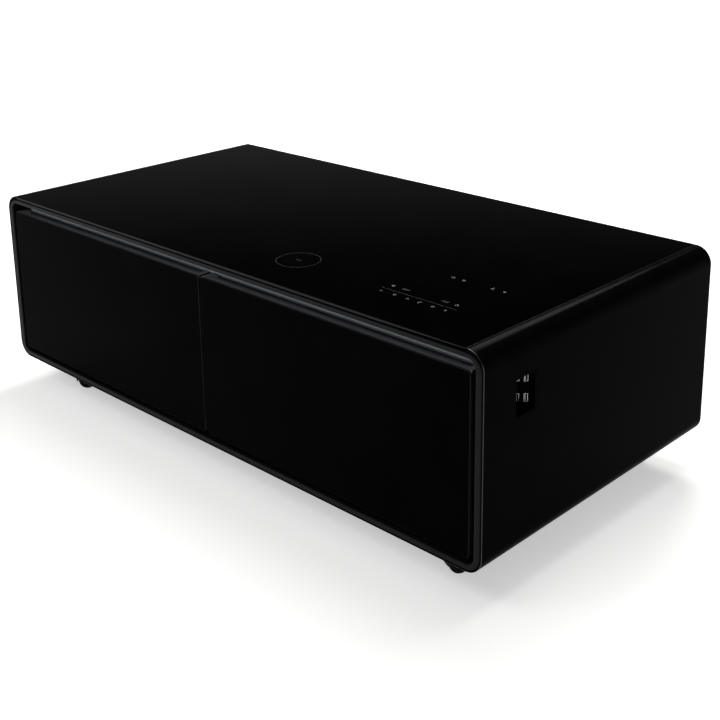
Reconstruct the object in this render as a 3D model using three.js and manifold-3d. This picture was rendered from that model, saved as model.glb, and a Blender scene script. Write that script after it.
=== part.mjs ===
// Coffee table with two refrigerated drawers under a black glass top, on four swivel casters.
// Millimetres, +Z up. The front faces -Y, and the origin is on the floor under the middle of the body.
import * as THREE from "three";
import { mergeVertices } from "three/addons/utils/BufferGeometryUtils.js";
import Module from "manifold-3d";

const wasm = await Module();
wasm.setup();

// Driving dimensions
const WIDTH = 1300;
const DEPTH = 656;
const BODY_HEIGHT = 365;
const CASTER_HEIGHT = 68;
const CORNER_RADIUS = 32; // of the four long edges of the shell
const SHELL_WALL = 3;
const GLASS = 4; // of the top and of the drawer fronts
const FIT = 0.4; // between pieces that sit side by side
const LAP = 1; // how far joined solids reach into each other

const HALF = WIDTH / 2;
const FRONT = -DEPTH / 2;
const BACK = DEPTH / 2;
const BOTTOM = CASTER_HEIGHT;
const TOP = BOTTOM + BODY_HEIGHT;

// Colours and finishes
const finish = (color, roughness, metalness = 0) =>
  new THREE.MeshStandardMaterial({ color, roughness, metalness });
const BLACK_GLASS = finish(0x0a0a0b, 0.05);
const SATIN_BLACK = finish(0x151516, 0.35);
const BEZEL_BLACK = finish(0x2a2a2b, 0.3);
const HANDLE_GREY = finish(0x3c3d3f, 0.35, 0.6);
const DIFFUSER = finish(0x8c8e90, 0.4);
const MOULDED_BLACK = finish(0x101011, 0.6);
const WHITE_LINER = finish(0xe9ebec, 0.45);
const FOAM = finish(0xd9cfa8, 0.9);
const SEAL_RUBBER = finish(0x2f3032, 0.8);
const ZINC_STEEL = finish(0xa9adb0, 0.35, 1);
const COMPRESSOR_BLACK = finish(0x17181a, 0.5, 0.2);
const ALUMINIUM = finish(0xc3c6c9, 0.4, 1);
const COPPER = finish(0xb87350, 0.35, 1);
const BOARD_GREEN = finish(0x1f5a36, 0.6);
const TREAD = finish(0x1b1b1c, 0.7);

// Outlines
const at = (x, y) => new THREE.Vector2(x, y);

function arc(x, y, radius, from, to, steps) {
  return Array.from({ length: steps + 1 }, (_, i) => {
    const angle = THREE.MathUtils.degToRad(from + ((to - from) * i) / steps);
    return at(x + radius * Math.cos(angle), y + radius * Math.sin(angle));
  });
}

const rect = (x0, y0, x1, y1) => [at(x0, y0), at(x1, y0), at(x1, y1), at(x0, y1)];

function roundedRect(x0, y0, x1, y1, radius, steps = 5) {
  return [
    ...arc(x1 - radius, y0 + radius, radius, -90, 0, steps),
    ...arc(x1 - radius, y1 - radius, radius, 0, 90, steps),
    ...arc(x0 + radius, y1 - radius, radius, 90, 180, steps),
    ...arc(x0 + radius, y0 + radius, radius, 180, 270, steps),
  ];
}

const circle = (x, y, radius, steps = 16) => arc(x, y, radius, 0, 360, steps).slice(0, steps);

// A folded channel: a web at one side and two flanges that reach to the tip.
function channel(web, tip, half, wall) {
  const inner = web + Math.sign(tip - web) * wall;
  return [
    at(web, -half),
    at(tip, -half),
    at(tip, -half + wall),
    at(inner, -half + wall),
    at(inner, half - wall),
    at(tip, half - wall),
    at(tip, half),
    at(web, half),
  ];
}

// Solids from outlines. An outline lies across its axis: (y, z) for x, (x, z) for y and (x, y) for z.
const X = new THREE.Vector3(1, 0, 0);
const Y = new THREE.Vector3(0, 1, 0);
const Z = new THREE.Vector3(0, 0, 1);
const RUNS = {
  x: new THREE.Matrix4().makeBasis(Y, Z, X),
  y: new THREE.Matrix4().makeBasis(X, Z, Y.clone().negate()),
  z: new THREE.Matrix4(),
};

function prism(axis, outline, from, to, { holes = [], bevel = 0, steps = 1 } = {}) {
  const shape = new THREE.Shape(outline);
  shape.holes = holes.map((points) => new THREE.Path(points));
  const geometry = new THREE.ExtrudeGeometry(shape, {
    depth: to - from - 2 * bevel,
    bevelEnabled: bevel > 0,
    bevelThickness: bevel,
    bevelSize: bevel,
    bevelOffset: -bevel,
    bevelSegments: steps,
  });
  geometry.applyMatrix4(RUNS[axis]);
  const run = { x: X, y: Y, z: Z }[axis];
  const start = axis === "y" ? to - bevel : from + bevel;
  return geometry.translate(run.x * start, run.y * start, run.z * start);
}

const box = (x0, y0, z0, x1, y1, z1) => prism("z", rect(x0, y0, x1, y1), z0, z1);

// A turned solid on the Z axis, from (radius, height) pairs that start and end on the axis, bottom first.
function turned(profile, segments = 24) {
  const points = profile.map(([radius, height]) => at(radius, height));
  return new THREE.LatheGeometry(points, segments).rotateX(Math.PI / 2);
}

const rod = (x, y, z0, z1, radius, steps = 16) => prism("z", circle(x, y, radius, steps), z0, z1);

// A bent tube through the points.
function tube(points, radius, steps, sides = 8) {
  const path = new THREE.CatmullRomCurve3(points.map((p) => new THREE.Vector3(...p)), false, "centripetal");
  return new THREE.ExtrudeGeometry(new THREE.Shape(circle(0, 0, radius, sides)), {
    steps,
    extrudePath: path,
    bevelEnabled: false,
  });
}

// A serpentine tube: level passes along x, one above the other, with round return bends.
function serpentine({ x0, x1, y, z, pitch, passes, radius, sides = 6 }) {
  const geometries = [];
  for (let pass = 0; pass < passes; pass++) {
    const height = z + pass * pitch;
    geometries.push(prism("x", circle(y, height, radius, sides), x0, x1));
    if (pass === passes - 1) break;
    const side = pass % 2 ? -1 : 1;
    const end = side > 0 ? x1 - LAP : x0 + LAP;
    const bend = arc(end, height + pitch / 2, pitch / 2, -90, side > 0 ? 90 : -270, 6);
    geometries.push(tube(bend.map((p) => [p.x, y, p.y]), radius, 6, sides));
  }
  return geometries;
}

// Joining and cutting
function solid(geometry) {
  const bare = new THREE.BufferGeometry();
  const corners = geometry.index ? geometry.toNonIndexed() : geometry;
  bare.setAttribute("position", corners.getAttribute("position"));
  const merged = mergeVertices(bare, 1e-3);
  return new wasm.Manifold(
    new wasm.Mesh({
      numProp: 3,
      vertProperties: merged.attributes.position.array,
      triVerts: new Uint32Array(merged.index.array),
    }),
  );
}

function drawn(manifold) {
  const mesh = manifold.getMesh();
  const geometry = new THREE.BufferGeometry();
  geometry.setAttribute("position", new THREE.BufferAttribute(mesh.vertProperties, 3));
  geometry.setIndex(new THREE.BufferAttribute(mesh.triVerts, 1));
  geometry.computeVertexNormals();
  return geometry;
}

const join = (...all) => drawn(all.map(solid).reduce((a, b) => a.add(b)));
const cut = (base, ...tools) => drawn(tools.map(solid).reduce((a, b) => a.subtract(b), solid(base)));

const table = new THREE.Group();

function place(group, name, geometry, material) {
  const mesh = new THREE.Mesh(geometry, material);
  mesh.name = name;
  group.add(mesh);
  return mesh;
}

// The glass lies in a recess of the shell between the two round edges, open at the front and the back.
const GLASS_HALF = HALF - CORNER_RADIUS - 2;
const GLASS_SEAT = TOP - GLASS - FIT;
const SHEET_UNDER = GLASS_SEAT - SHELL_WALL; // underside of the shell under the glass
const EDGE_BREAK = 0.8;

// Electronics under the glass
const CHARGER = { x: 142, y: FRONT + 113.5, radius: 40 };
const TOUCH = { x0: 338, x1: 528, y0: -246, y1: -88, radius: 6 };
const MODULE_FLOOR = GLASS_SEAT - 9;

// Recessed bay for two USB sockets in the right side
const BAY = { y: FRONT + 102, z: TOP - 97, width: 48, height: 62, depth: 28, radius: 4.5, rim: 2.6 };
const BAY_WALL = 1.2;
const PLATE_RUN = 16; // the socket plate takes this much of the bay's depth and width, at 45 degrees

// Front opening of the bezel
const BEZEL_FACE = 12.6;
const BEZEL_DEPTH = 8;
const BEZEL_CHAMFER = 2;
const OPENING = {
  x: HALF - SHELL_WALL - FIT - BEZEL_FACE,
  bottom: BOTTOM + SHELL_WALL + FIT + 9.2,
  top: TOP - 14.4,
  radius: 16,
};
const SKIRT_WALL = 3;

// Face frame behind the bezel, which the drawer seals close on
const FACE_FRONT = FRONT + 41;
const FACE_PLATE = 2;

// Drawers and the compartments behind them
const DRAWER_X = 314; // middle of each drawer
const DOOR = { half: 311, bottom: BOTTOM + 23, top: BOTTOM + 331, radius: 7 };
const COMPARTMENT = { half: 289, bottom: BOTTOM + 44, top: BOTTOM + 314, back: 116 };
const LINER_WALL = 2;
const LINER_FLANGE = { reach: 8, thick: 1.2 };
const LINER_FRONT = FACE_FRONT + FACE_PLATE + FIT;
const FOAM_BACK = 150;

// Light strip above the drawers
const RAIL = { half: OPENING.x - 0.6, bottom: DOOR.top - 6, top: OPENING.top - FIT, front: FRONT + 31 };
const STRIP = { half: 611, bottom: RAIL.bottom + 1, top: RAIL.top - 2, depth: 7 };

// Shell, glass and front

function shellOutline() {
  const r = CORNER_RADIUS;
  const edge = GLASS_HALF + FIT;
  return [
    ...arc(HALF - r, BOTTOM + r, r, -90, 0, 8),
    ...arc(HALF - r, TOP - r, r, 0, 90, 8),
    at(edge, TOP),
    at(edge, GLASS_SEAT),
    at(-edge, GLASS_SEAT),
    at(-edge, TOP),
    ...arc(-HALF + r, TOP - r, r, 90, 180, 8),
    ...arc(-HALF + r, BOTTOM + r, r, 180, 270, 8),
  ];
}

// Rounded outline a given distance inside the shell's outer face, flat under the glass.
function insideShell(inset, top = SHEET_UNDER) {
  return roundedRect(-HALF + inset, BOTTOM + inset, HALF - inset, top, CORNER_RADIUS - inset, 8);
}

function outerShell() {
  const band = prism("y", shellOutline(), FRONT, BACK, {
    holes: [insideShell(SHELL_WALL)],
    bevel: EDGE_BREAK,
  });
  const bezelNotch = box(
    -GLASS_HALF, FRONT - LAP, SHEET_UNDER - LAP,
    GLASS_HALF, FRONT + BEZEL_DEPTH + FIT, GLASS_SEAT + LAP,
  );
  const chargerHole = CHARGER.radius + 2 * FIT;
  const chargerWindow = rod(CHARGER.x, CHARGER.y, SHEET_UNDER - LAP, GLASS_SEAT + LAP, chargerHole, 32);
  const touchWindow = prism(
    "z",
    roundedRect(TOUCH.x0 - FIT, TOUCH.y0 - FIT, TOUCH.x1 + FIT, TOUCH.y1 + FIT, TOUCH.radius),
    SHEET_UNDER - LAP,
    GLASS_SEAT + LAP,
  );
  const half = { y: BAY.width / 2 + BAY.rim + FIT, z: BAY.height / 2 + BAY.rim + FIT };
  const bayHole = prism(
    "x",
    roundedRect(BAY.y - half.y, BAY.z - half.z, BAY.y + half.y, BAY.z + half.z, BAY.radius + FIT),
    HALF - SHELL_WALL - LAP,
    HALF + LAP,
  );
  return cut(band, bezelNotch, chargerWindow, touchWindow, bayHole);
}

function topGlass() {
  return prism("z", roundedRect(-GLASS_HALF, FRONT, GLASS_HALF, BACK, 2, 2), TOP - GLASS, TOP, {
    bevel: EDGE_BREAK,
  });
}

// The flange follows the shell at the sides and rises behind the edge of the glass.
// The skirt lines the opening.
function frontBezel() {
  const inset = SHELL_WALL + FIT;
  const side = HALF - inset;
  const r = CORNER_RADIUS - inset;
  const raised = GLASS_HALF - 2 * FIT;
  const shoulder = SHEET_UNDER - FIT;
  const outline = [
    ...arc(side - r, BOTTOM + inset + r, r, -90, 0, 6),
    ...arc(side - r, shoulder - r, r, 0, 90, 6),
    at(raised, shoulder),
    at(raised, GLASS_SEAT - 2 * FIT),
    at(-raised, GLASS_SEAT - 2 * FIT),
    at(-raised, shoulder),
    ...arc(-side + r, shoulder - r, r, 90, 180, 6),
    ...arc(-side + r, BOTTOM + inset + r, r, 180, 270, 6),
  ];
  const opening = roundedRect(-OPENING.x, OPENING.bottom, OPENING.x, OPENING.top, OPENING.radius, 6);
  const flange = prism("y", outline, FRONT, FRONT + BEZEL_DEPTH, {
    holes: [opening],
    bevel: BEZEL_CHAMFER,
    steps: 2,
  });
  const skirtOutline = roundedRect(
    -OPENING.x - SKIRT_WALL,
    OPENING.bottom - SKIRT_WALL,
    OPENING.x + SKIRT_WALL,
    OPENING.top + SKIRT_WALL,
    OPENING.radius + SKIRT_WALL,
    6,
  );
  const skirt = prism("y", skirtOutline, FRONT + BEZEL_DEPTH - 3, FACE_FRONT - FIT, { holes: [opening] });
  return join(flange, skirt);
}

function compartmentOutline(x, grow = 0) {
  const c = COMPARTMENT;
  return roundedRect(x - c.half - grow, c.bottom - grow, x + c.half + grow, c.top + grow, 10 + grow, 3);
}

function faceFrame() {
  const holes = [-DRAWER_X, DRAWER_X].map((x) => compartmentOutline(x));
  const outline = insideShell(SHELL_WALL + FIT, SHEET_UNDER - FIT);
  return prism("y", outline, FACE_FRONT, FACE_FRONT + FACE_PLATE, { holes });
}

// Aluminium rail with a pocket for the diffuser, screwed to the face frame above the drawers.
function lightRail() {
  const rail = box(-RAIL.half, RAIL.front, RAIL.bottom, RAIL.half, FACE_FRONT - FIT, RAIL.top);
  const pocket = box(
    -STRIP.half - FIT, RAIL.front - LAP, STRIP.bottom - FIT,
    STRIP.half + FIT, RAIL.front + STRIP.depth + FIT, STRIP.top + FIT,
  );
  const corner = OPENING.radius;
  const trims = [-1, 1].map((side) => {
    const x = side * (RAIL.half - corner);
    const outline = [
      at(side * (RAIL.half + LAP), RAIL.top + LAP),
      at(x, RAIL.top + LAP),
      ...arc(x, RAIL.top - corner, corner, 90, side > 0 ? 0 : 180, 5),
      at(side * (RAIL.half + LAP), RAIL.top - corner),
    ];
    return prism("y", outline, RAIL.front - LAP, FACE_FRONT + LAP);
  });
  return cut(rail, pocket, ...trims);
}

function lightStrip() {
  const face = rect(-STRIP.half, STRIP.bottom, STRIP.half, STRIP.top);
  return prism("y", face, RAIL.front, RAIL.front + STRIP.depth, { bevel: EDGE_BREAK });
}

// Foam body, liners and cooling plate

const POCKET_EASE = 2; // pockets in the foam are this much larger than what they hold
const BAY_POCKET = { depth: 42, behind: 13, around: 4 };
const EVAPORATOR = {
  half: 560,
  bottom: BOTTOM + 75,
  top: BOTTOM + 285,
  y: COMPARTMENT.back + LINER_WALL + FIT,
  plate: 1.6,
  tube: 3.2,
  passes: 4,
  margin: 22,
};

function foamBody() {
  const block = prism("y", insideShell(SHELL_WALL + FIT, SHEET_UNDER - FIT), LINER_FRONT + 2, FOAM_BACK);
  const wall = LINER_WALL + FIT;
  const compartments = [-DRAWER_X, DRAWER_X].map((x) =>
    prism("y", compartmentOutline(x, wall), LINER_FRONT - LAP, COMPARTMENT.back + wall),
  );
  const e = EVAPORATOR;
  const platePocket = box(
    -e.half - POCKET_EASE, COMPARTMENT.back, e.bottom - POCKET_EASE,
    e.half + POCKET_EASE, e.y + e.plate + 2 * e.tube + FIT, e.top + POCKET_EASE,
  );
  const chargerHole = CHARGER.radius + POCKET_EASE;
  const chargerPocket = rod(CHARGER.x, CHARGER.y, MODULE_FLOOR - LAP, TOP, chargerHole, 24);
  const touchPocket = box(
    TOUCH.x0 - POCKET_EASE, TOUCH.y0 - POCKET_EASE, MODULE_FLOOR - LAP,
    TOUCH.x1 + POCKET_EASE, TOUCH.y1 + POCKET_EASE, TOP,
  );
  const { depth, behind, around } = BAY_POCKET;
  const bayPocket = box(
    HALF - depth, BAY.y - BAY.width / 2 - around, BAY.z - BAY.height / 2 - around,
    HALF, BAY.y + BAY.width / 2 + behind, BAY.z + BAY.height / 2 + around,
  );
  return cut(block, ...compartments, platePocket, chargerPocket, touchPocket, bayPocket);
}

function liner(x) {
  const wall = LINER_WALL;
  const flange = prism(
    "y",
    compartmentOutline(x, LINER_FLANGE.reach),
    LINER_FRONT,
    LINER_FRONT + LINER_FLANGE.thick,
  );
  const tub = prism("y", compartmentOutline(x, wall), LINER_FRONT, COMPARTMENT.back + wall);
  const inside = prism("y", compartmentOutline(x), LINER_FRONT - LAP, COMPARTMENT.back);
  return cut(join(flange, tub), inside);
}

// Cooling plate behind both liners, with its serpentine tube pressed on.
function evaporatorPlate() {
  const e = EVAPORATOR;
  const plate = box(-e.half, e.y, e.bottom, e.half, e.y + e.plate, e.top);
  const pitch = (e.top - e.bottom - 2 * e.margin) / (e.passes - 1);
  const run = e.half - e.margin - pitch / 2;
  const passes = serpentine({
    x0: -run,
    x1: run,
    y: e.y + e.plate + e.tube - LAP,
    z: e.bottom + e.margin,
    pitch,
    passes: e.passes,
    radius: e.tube,
  });
  return join(plate, ...passes);
}

// Modules under the glass

const TOUCH_SHEET = 2;
const TOUCH_CHIPS = [
  { x: 390, y: -200, width: 24, depth: 24, high: 2.5 },
  { x: 440, y: -180, width: 40, depth: 14, high: 5 },
  { x: 360, y: -140, width: 16, depth: 10, high: 4 },
];

function touchBoard() {
  const t = TOUCH;
  const under = GLASS_SEAT - FIT - TOUCH_SHEET;
  const board = prism("z", roundedRect(t.x0, t.y0, t.x1, t.y1, t.radius), under, GLASS_SEAT - FIT);
  const chips = TOUCH_CHIPS.map(({ x, y, width, depth, high }) =>
    box(x, y, under - high, x + width, y + depth, under + FIT),
  );
  return join(board, ...chips);
}

// Ferrite disc with the flat coil on it.
const COIL = { disc: 3, outer: 36, inner: 12 };

function chargerCoil() {
  const r = CHARGER.radius;
  const disc = MODULE_FLOOR + COIL.disc;
  const high = GLASS_SEAT - FIT;
  const profile = [
    [0, MODULE_FLOOR],
    [r, MODULE_FLOOR],
    [r, disc],
    [COIL.outer, disc],
    [COIL.outer, high],
    [COIL.inner, high],
    [COIL.inner, disc + 1],
    [0, disc + 1],
  ];
  return turned(profile, 16).translate(CHARGER.x, CHARGER.y, 0);
}

// Side bay, in a frame whose origin is the middle of its mouth and whose -X runs into the table

function bayOutline(grow = 0) {
  const y = BAY.width / 2 + grow;
  const back = -BAY.depth - grow;
  return [at(LAP, y), at(back + PLATE_RUN, y), at(back, y - PLATE_RUN), at(back, -y), at(LAP, -y)];
}

function socketBezel() {
  const y = BAY.width / 2;
  const z = BAY.height / 2;
  const edge = { y: y + BAY.rim, z: z + BAY.rim };
  const rim = prism("x", roundedRect(-edge.y, -edge.z, edge.y, edge.z, BAY.radius), -3, 0, { bevel: 0.5 });
  const pocketBody = prism("z", bayOutline(BAY_WALL), -z - BAY_WALL, z + BAY_WALL);
  const body = cut(pocketBody, box(-0.5, -y - 10, -z - 10, 5, y + 10, z + 10));
  const inside = prism("z", bayOutline(), -z, z);
  const w = USB.width / 2 + USB.gap;
  const h = USB.height / 2 + USB.gap;
  const opening = box(-BAY.depth / 2, -w, -h, BAY.depth / 2, w, h);
  const windows = USB_PLACES.map(([along, up]) => onPlate(opening.clone(), along, up));
  return cut(join(rim, body), inside, ...windows);
}

// The four receptacles stand on the slanted plate in two columns.
const USB = { width: 5.6, height: 13.2, gap: 0.3, wall: 0.6, tongue: 1.8, sunk: 1, deep: 7 };
const USB_BLOCK = { half: 10.5, high: 28, thick: 2 };
const USB_PLACES = [-6.8, 6.8].flatMap((along) => [-16.8, 16.8].map((up) => [along, up]));

function onPlate(geometry, along, up) {
  const middle = [-BAY.depth + PLATE_RUN / 2, (BAY.width - PLATE_RUN) / 2];
  return geometry.translate(0, along, up).rotateZ(-Math.PI / 4).translate(...middle, 0);
}

function usbSockets() {
  const face = -BAY_WALL * Math.SQRT2 - FIT;
  const b = USB_BLOCK;
  const block = onPlate(box(face - USB.deep - b.thick, -b.half, -b.high, face, b.half, b.high), 0, 0);
  const w = USB.width / 2;
  const h = USB.height / 2;
  const each = (make) => USB_PLACES.map(([along, up]) => onPlate(make(), along, up));
  const shells = each(() => box(face - LAP, -w, -h, -USB.sunk, w, h));
  const t = USB.wall;
  const mouths = each(() => box(face - USB.deep, -w + t, -h + t, LAP, w - t, h - t));
  const tongues = each(() =>
    box(face - USB.deep - LAP, USB.gap, -h + 2 * t, -USB.sunk - t, USB.gap + USB.tongue, h - 2 * t),
  );
  return join(cut(join(block, ...shells), ...mouths), ...tongues);
}

// Drawers, in a frame whose origin is under the middle of the drawer

const DOOR_GLASS_BACK = FRONT + GLASS;
const CASING = { front: DOOR_GLASS_BACK + FIT, back: FACE_FRONT - 7.3, wall: 2.5, half: DOOR.half - 0.6 };
const HANDLE = { bottom: DOOR.top - 28, lip: 4, rear: DOOR.top - 6.8, dip: DOOR.top - 11.5, block: 14 };
const PANEL = { front: CASING.back + FIT, thick: 2.2 };
const GASKET_FRONT = PANEL.front + PANEL.thick + FIT;

function doorGlass() {
  const d = DOOR;
  return prism("y", roundedRect(-d.half, d.bottom, d.half, d.top, d.radius, 4), FRONT, DOOR_GLASS_BACK, {
    bevel: EDGE_BREAK,
  });
}

function doorCasing() {
  const c = CASING;
  const top = HANDLE.bottom - FIT;
  const bottom = DOOR.bottom + 0.6;
  const body = prism("y", roundedRect(-c.half, bottom, c.half, top, DOOR.radius, 4), c.front, c.back);
  const hollow = box(
    -c.half + c.wall, c.front + c.wall, bottom + c.wall,
    c.half - c.wall, c.back + LAP, top - c.wall,
  );
  return cut(body, hollow);
}

// The finger pull is a trough behind a lip, one section for the whole width of the drawer.
function doorHandle() {
  const h = HANDLE;
  const front = CASING.front;
  const top = DOOR.top - FIT;
  const shape = new THREE.Shape();
  shape.moveTo(front, h.bottom);
  shape.lineTo(CASING.back, h.bottom);
  shape.lineTo(CASING.back, h.rear);
  shape.lineTo(front + 25, h.rear);
  shape.bezierCurveTo(front + 18, h.rear - 1, front + 14, h.dip, front + 9, h.dip);
  shape.bezierCurveTo(front + 6, h.dip, front + h.lip, h.dip + 2, front + h.lip, h.dip + 6);
  shape.lineTo(front + h.lip, top - 1);
  shape.lineTo(front + h.lip - 1, top);
  shape.lineTo(front, top);
  const trough = prism("x", shape.getPoints(5).slice(0, -1), -CASING.half, CASING.half);
  const blockBack = RAIL.front - 2 * FIT;
  const blocks = [-1, 1].map((side) => {
    const ends = [side * CASING.half, side * (CASING.half - h.block)].sort((a, b) => a - b);
    return prism("x", rect(front, h.bottom, blockBack, top), ...ends);
  });
  return join(trough, ...blocks);
}

// White inner panel with the foam core that fills the casing.
function innerPanel() {
  const c = CASING;
  const p = PANEL;
  const inset = c.wall + FIT;
  const plate = prism(
    "y",
    roundedRect(-c.half + 2, DOOR.bottom + 3, c.half - 2, HANDLE.rear - 1, DOOR.radius, 3),
    p.front,
    p.front + p.thick,
  );
  const core = box(
    -c.half + inset, c.front + inset, DOOR.bottom + 0.6 + inset,
    c.half - inset, p.front + LAP, HANDLE.bottom - FIT - inset,
  );
  return join(plate, core);
}

// Hollow magnetic seal: a soft tube with a foot, one closed ring.
const GASKET = { outside: 15, foot: 8, shoulder: 1.2, thick: 1.6, radius: 14 };

function doorGasket() {
  const g = GASKET;
  const half = COMPARTMENT.half + g.outside;
  const bottom = COMPARTMENT.bottom - g.outside;
  const top = HANDLE.rear - 1.5;
  const edge = (inset) =>
    roundedRect(-half + inset, bottom + inset, half - inset, top - inset, g.radius - inset, 3);
  const ring = (margin, from, to) => prism("y", edge(margin), from, to, { holes: [edge(g.foot - margin)] });
  return join(
    ring(0, GASKET_FRONT, GASKET_FRONT + g.thick),
    ring(g.shoulder, GASKET_FRONT + LAP, FACE_FRONT - FIT),
  );
}

const TUB = {
  half: 275,
  bottom: COMPARTMENT.bottom + 6,
  top: COMPARTMENT.top - 27,
  front: GASKET_FRONT,
  back: 95,
  wall: 3,
  rim: 7,
  edge: 2,
  radius: 18,
};

function drawerTub() {
  const t = TUB;
  const outline = (grow, front) =>
    roundedRect(-t.half - grow, front, t.half + grow, t.back + grow, t.radius + grow, 4);
  const body = prism("z", outline(0, t.front), t.bottom, t.top);
  const rim = prism("z", outline(t.rim, t.front), t.top - t.rim, t.top);
  const under = outline(t.rim - t.edge, t.front + t.edge);
  const underRim = prism("z", under, t.top - t.rim - LAP, t.top - t.edge);
  const inside = prism("z", outline(-t.wall, t.front + t.wall), t.bottom + t.wall, t.top + LAP);
  return cut(join(body, cut(rim, underRim)), inside);
}

// Telescopic runners: three nested channels on each side of the tub.
// Web and tip are distances from the middle of the drawer.
const RUNNER = { z: BOTTOM + 130, front: LINER_FRONT + 5, length: 375, wall: 1.4 };
const CHANNELS = {
  inner: { web: TUB.half + FIT, tip: 283.8, half: 17.2 },
  middle: { web: 286.2, tip: 278.6, half: 19.8 },
  outer: { web: COMPARTMENT.half - FIT, tip: 279.4, half: 22.4 },
};

function runner(side, { web, tip, half }) {
  const outline = channel(side * web, side * tip, half, RUNNER.wall);
  return prism("y", outline, RUNNER.front, RUNNER.front + RUNNER.length).translate(0, 0, RUNNER.z);
}

function buildDrawer(name, x) {
  const drawer = new THREE.Group();
  drawer.position.x = x;
  place(drawer, `${name}_drawer_glass`, doorGlass(), BLACK_GLASS);
  place(drawer, `${name}_drawer_casing`, doorCasing(), MOULDED_BLACK);
  place(drawer, `${name}_drawer_handle`, doorHandle(), HANDLE_GREY);
  place(drawer, `${name}_drawer_inner_panel`, innerPanel(), WHITE_LINER);
  place(drawer, `${name}_drawer_gasket`, doorGasket(), SEAL_RUBBER);
  place(drawer, `${name}_drawer_tub`, drawerTub(), WHITE_LINER);
  for (const [end, side] of [["a", -1], ["b", 1]]) {
    for (const [kind, section] of Object.entries(CHANNELS)) {
      place(drawer, `${name}_runner_${kind}_${end}`, runner(side, section), ZINC_STEEL);
    }
  }
  return drawer;
}

// Cooling machinery behind the compartments

const BAY_FLOOR = BOTTOM + SHELL_WALL + FIT;
const TRAY = { half: 430, front: 166, back: 312, sheet: 1.8, lip: 14 };
const COMPRESSOR = { x: -230, y: 238, radius: 62, foot: BAY_FLOOR + 17, feet: { x: 82, y: 48 } };
const CONDENSER = { x0: 120, x1: 300, y0: 262, y1: 302, top: BOTTOM + 205, fins: 5, passes: 3, tube: 4.5 };
const BOARD = { x0: -570, x1: -440, z0: BOTTOM + 105, z1: BOTTOM + 265, sheet: 1.6 };
const FAN = { x: 210, y0: 228, y1: 252, z: BOTTOM + 110, radius: 62, half: 70, blades: 7, pitch: 28 };

// Folded steel tray with a rubber post and stud under each foot of the compressor.
function baseTray() {
  const t = TRAY;
  const z = BAY_FLOOR;
  const section = [
    at(t.front, z),
    at(t.back, z),
    at(t.back, z + t.lip),
    at(t.back - t.sheet, z + t.lip),
    at(t.back - t.sheet, z + t.sheet),
    at(t.front + t.sheet, z + t.sheet),
    at(t.front + t.sheet, z + t.lip),
    at(t.front, z + t.lip),
  ];
  const posts = compressorFeet().map(([x, y]) => {
    const under = COMPRESSOR.foot - FIT;
    const tip = COMPRESSOR.foot + 8;
    const profile = [[0, z], [12, z], [9, z + 8], [12, under], [3, under], [3, tip], [0, tip]];
    return turned(profile, 8).translate(x, y, 0);
  });
  return join(prism("x", section, -t.half, t.half), ...posts);
}

function compressorFeet() {
  const { x, y, feet } = COMPRESSOR;
  return [-1, 1].flatMap((i) => [-1, 1].map((j) => [x + i * feet.x, y + j * feet.y]));
}

function compressor() {
  const { x, y, radius: r, foot, feet } = COMPRESSOR;
  const can = turned([
    [0, foot + 1],
    [r - 6, foot + 1],
    [r, foot + 8],
    [r, foot + 66],
    [r + 3, foot + 68],
    [r + 3, foot + 73],
    [r, foot + 75],
    [r, foot + 112],
    [r - 12, foot + 136],
    [r - 34, foot + 147],
    [0, foot + 150],
  ], 16).translate(x, y, 0);
  const reach = { x: feet.x + 14, y: feet.y + 12 };
  const plateOutline = roundedRect(x - reach.x, y - reach.y, x + reach.x, y + reach.y, 10, 3);
  const plate = prism("z", plateOutline, foot, foot + 3);
  const holes = compressorFeet().map(([px, py]) => rod(px, py, foot - LAP, foot + 4, 4, 12));
  const terminals = box(x + r - 8, y - 24, foot + 30, x + r + 22, y + 24, foot + 62);
  return cut(join(can, plate, terminals), ...holes);
}

// Finned condenser: end plates stand on the tray and carry the serpentine tube and its fins.
function condenser() {
  const c = CONDENSER;
  const foot = BAY_FLOOR + TRAY.sheet + FIT;
  const y = (c.y0 + c.y1) / 2;
  const lowest = foot + 24;
  const pitch = (c.top - 16 - lowest) / (c.passes - 1);
  const ends = [c.x0, c.x1 - 2].map((x) => box(x, c.y0, foot, x + 2, c.y1, c.top));
  const spacing = (c.x1 - c.x0) / (c.fins + 1);
  const fins = Array.from({ length: c.fins }, (_, i) => {
    const x = c.x0 + spacing * (i + 1);
    return box(x - 0.6, c.y0 + 2, foot + 10, x + 0.6, c.y1 - 2, c.top - 4);
  });
  const passes = serpentine({
    x0: c.x0 - 2,
    x1: c.x1 + 2,
    y,
    z: lowest,
    pitch,
    passes: c.passes,
    radius: c.tube,
  });
  return join(...ends, ...fins, ...passes);
}

function fanShroud() {
  const f = FAN;
  const foot = BAY_FLOOR + TRAY.sheet + FIT;
  const frame = prism("y", rect(f.x - f.half, foot, f.x + f.half, f.z + f.half), f.y0, f.y1, {
    holes: [circle(f.x, f.z, f.radius + 3, 28)],
  });
  const reach = f.radius + 5;
  const strut = (angle) =>
    prism("y", rect(-reach, -3, reach, 3), f.y0, f.y0 + 4).rotateY(angle).translate(f.x, 0, f.z);
  const motor = prism("y", circle(f.x, f.z, 17, 16), f.y0, f.y0 + 7.6);
  return join(frame, strut(Math.PI / 4), strut(-Math.PI / 4), motor);
}

// Pitched blades on a hub, about the Y axis.
function fanRotor() {
  const f = FAN;
  const hub = prism("y", circle(0, 0, 19, 20), -7, 8);
  const pitch = THREE.MathUtils.degToRad(f.pitch);
  const blades = Array.from({ length: f.blades }, (_, i) =>
    box(-12, -0.9, 12, 12, 0.9, f.radius - 1).rotateZ(pitch).rotateY((i * 2 * Math.PI) / f.blades),
  );
  return join(hub, ...blades);
}

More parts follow.
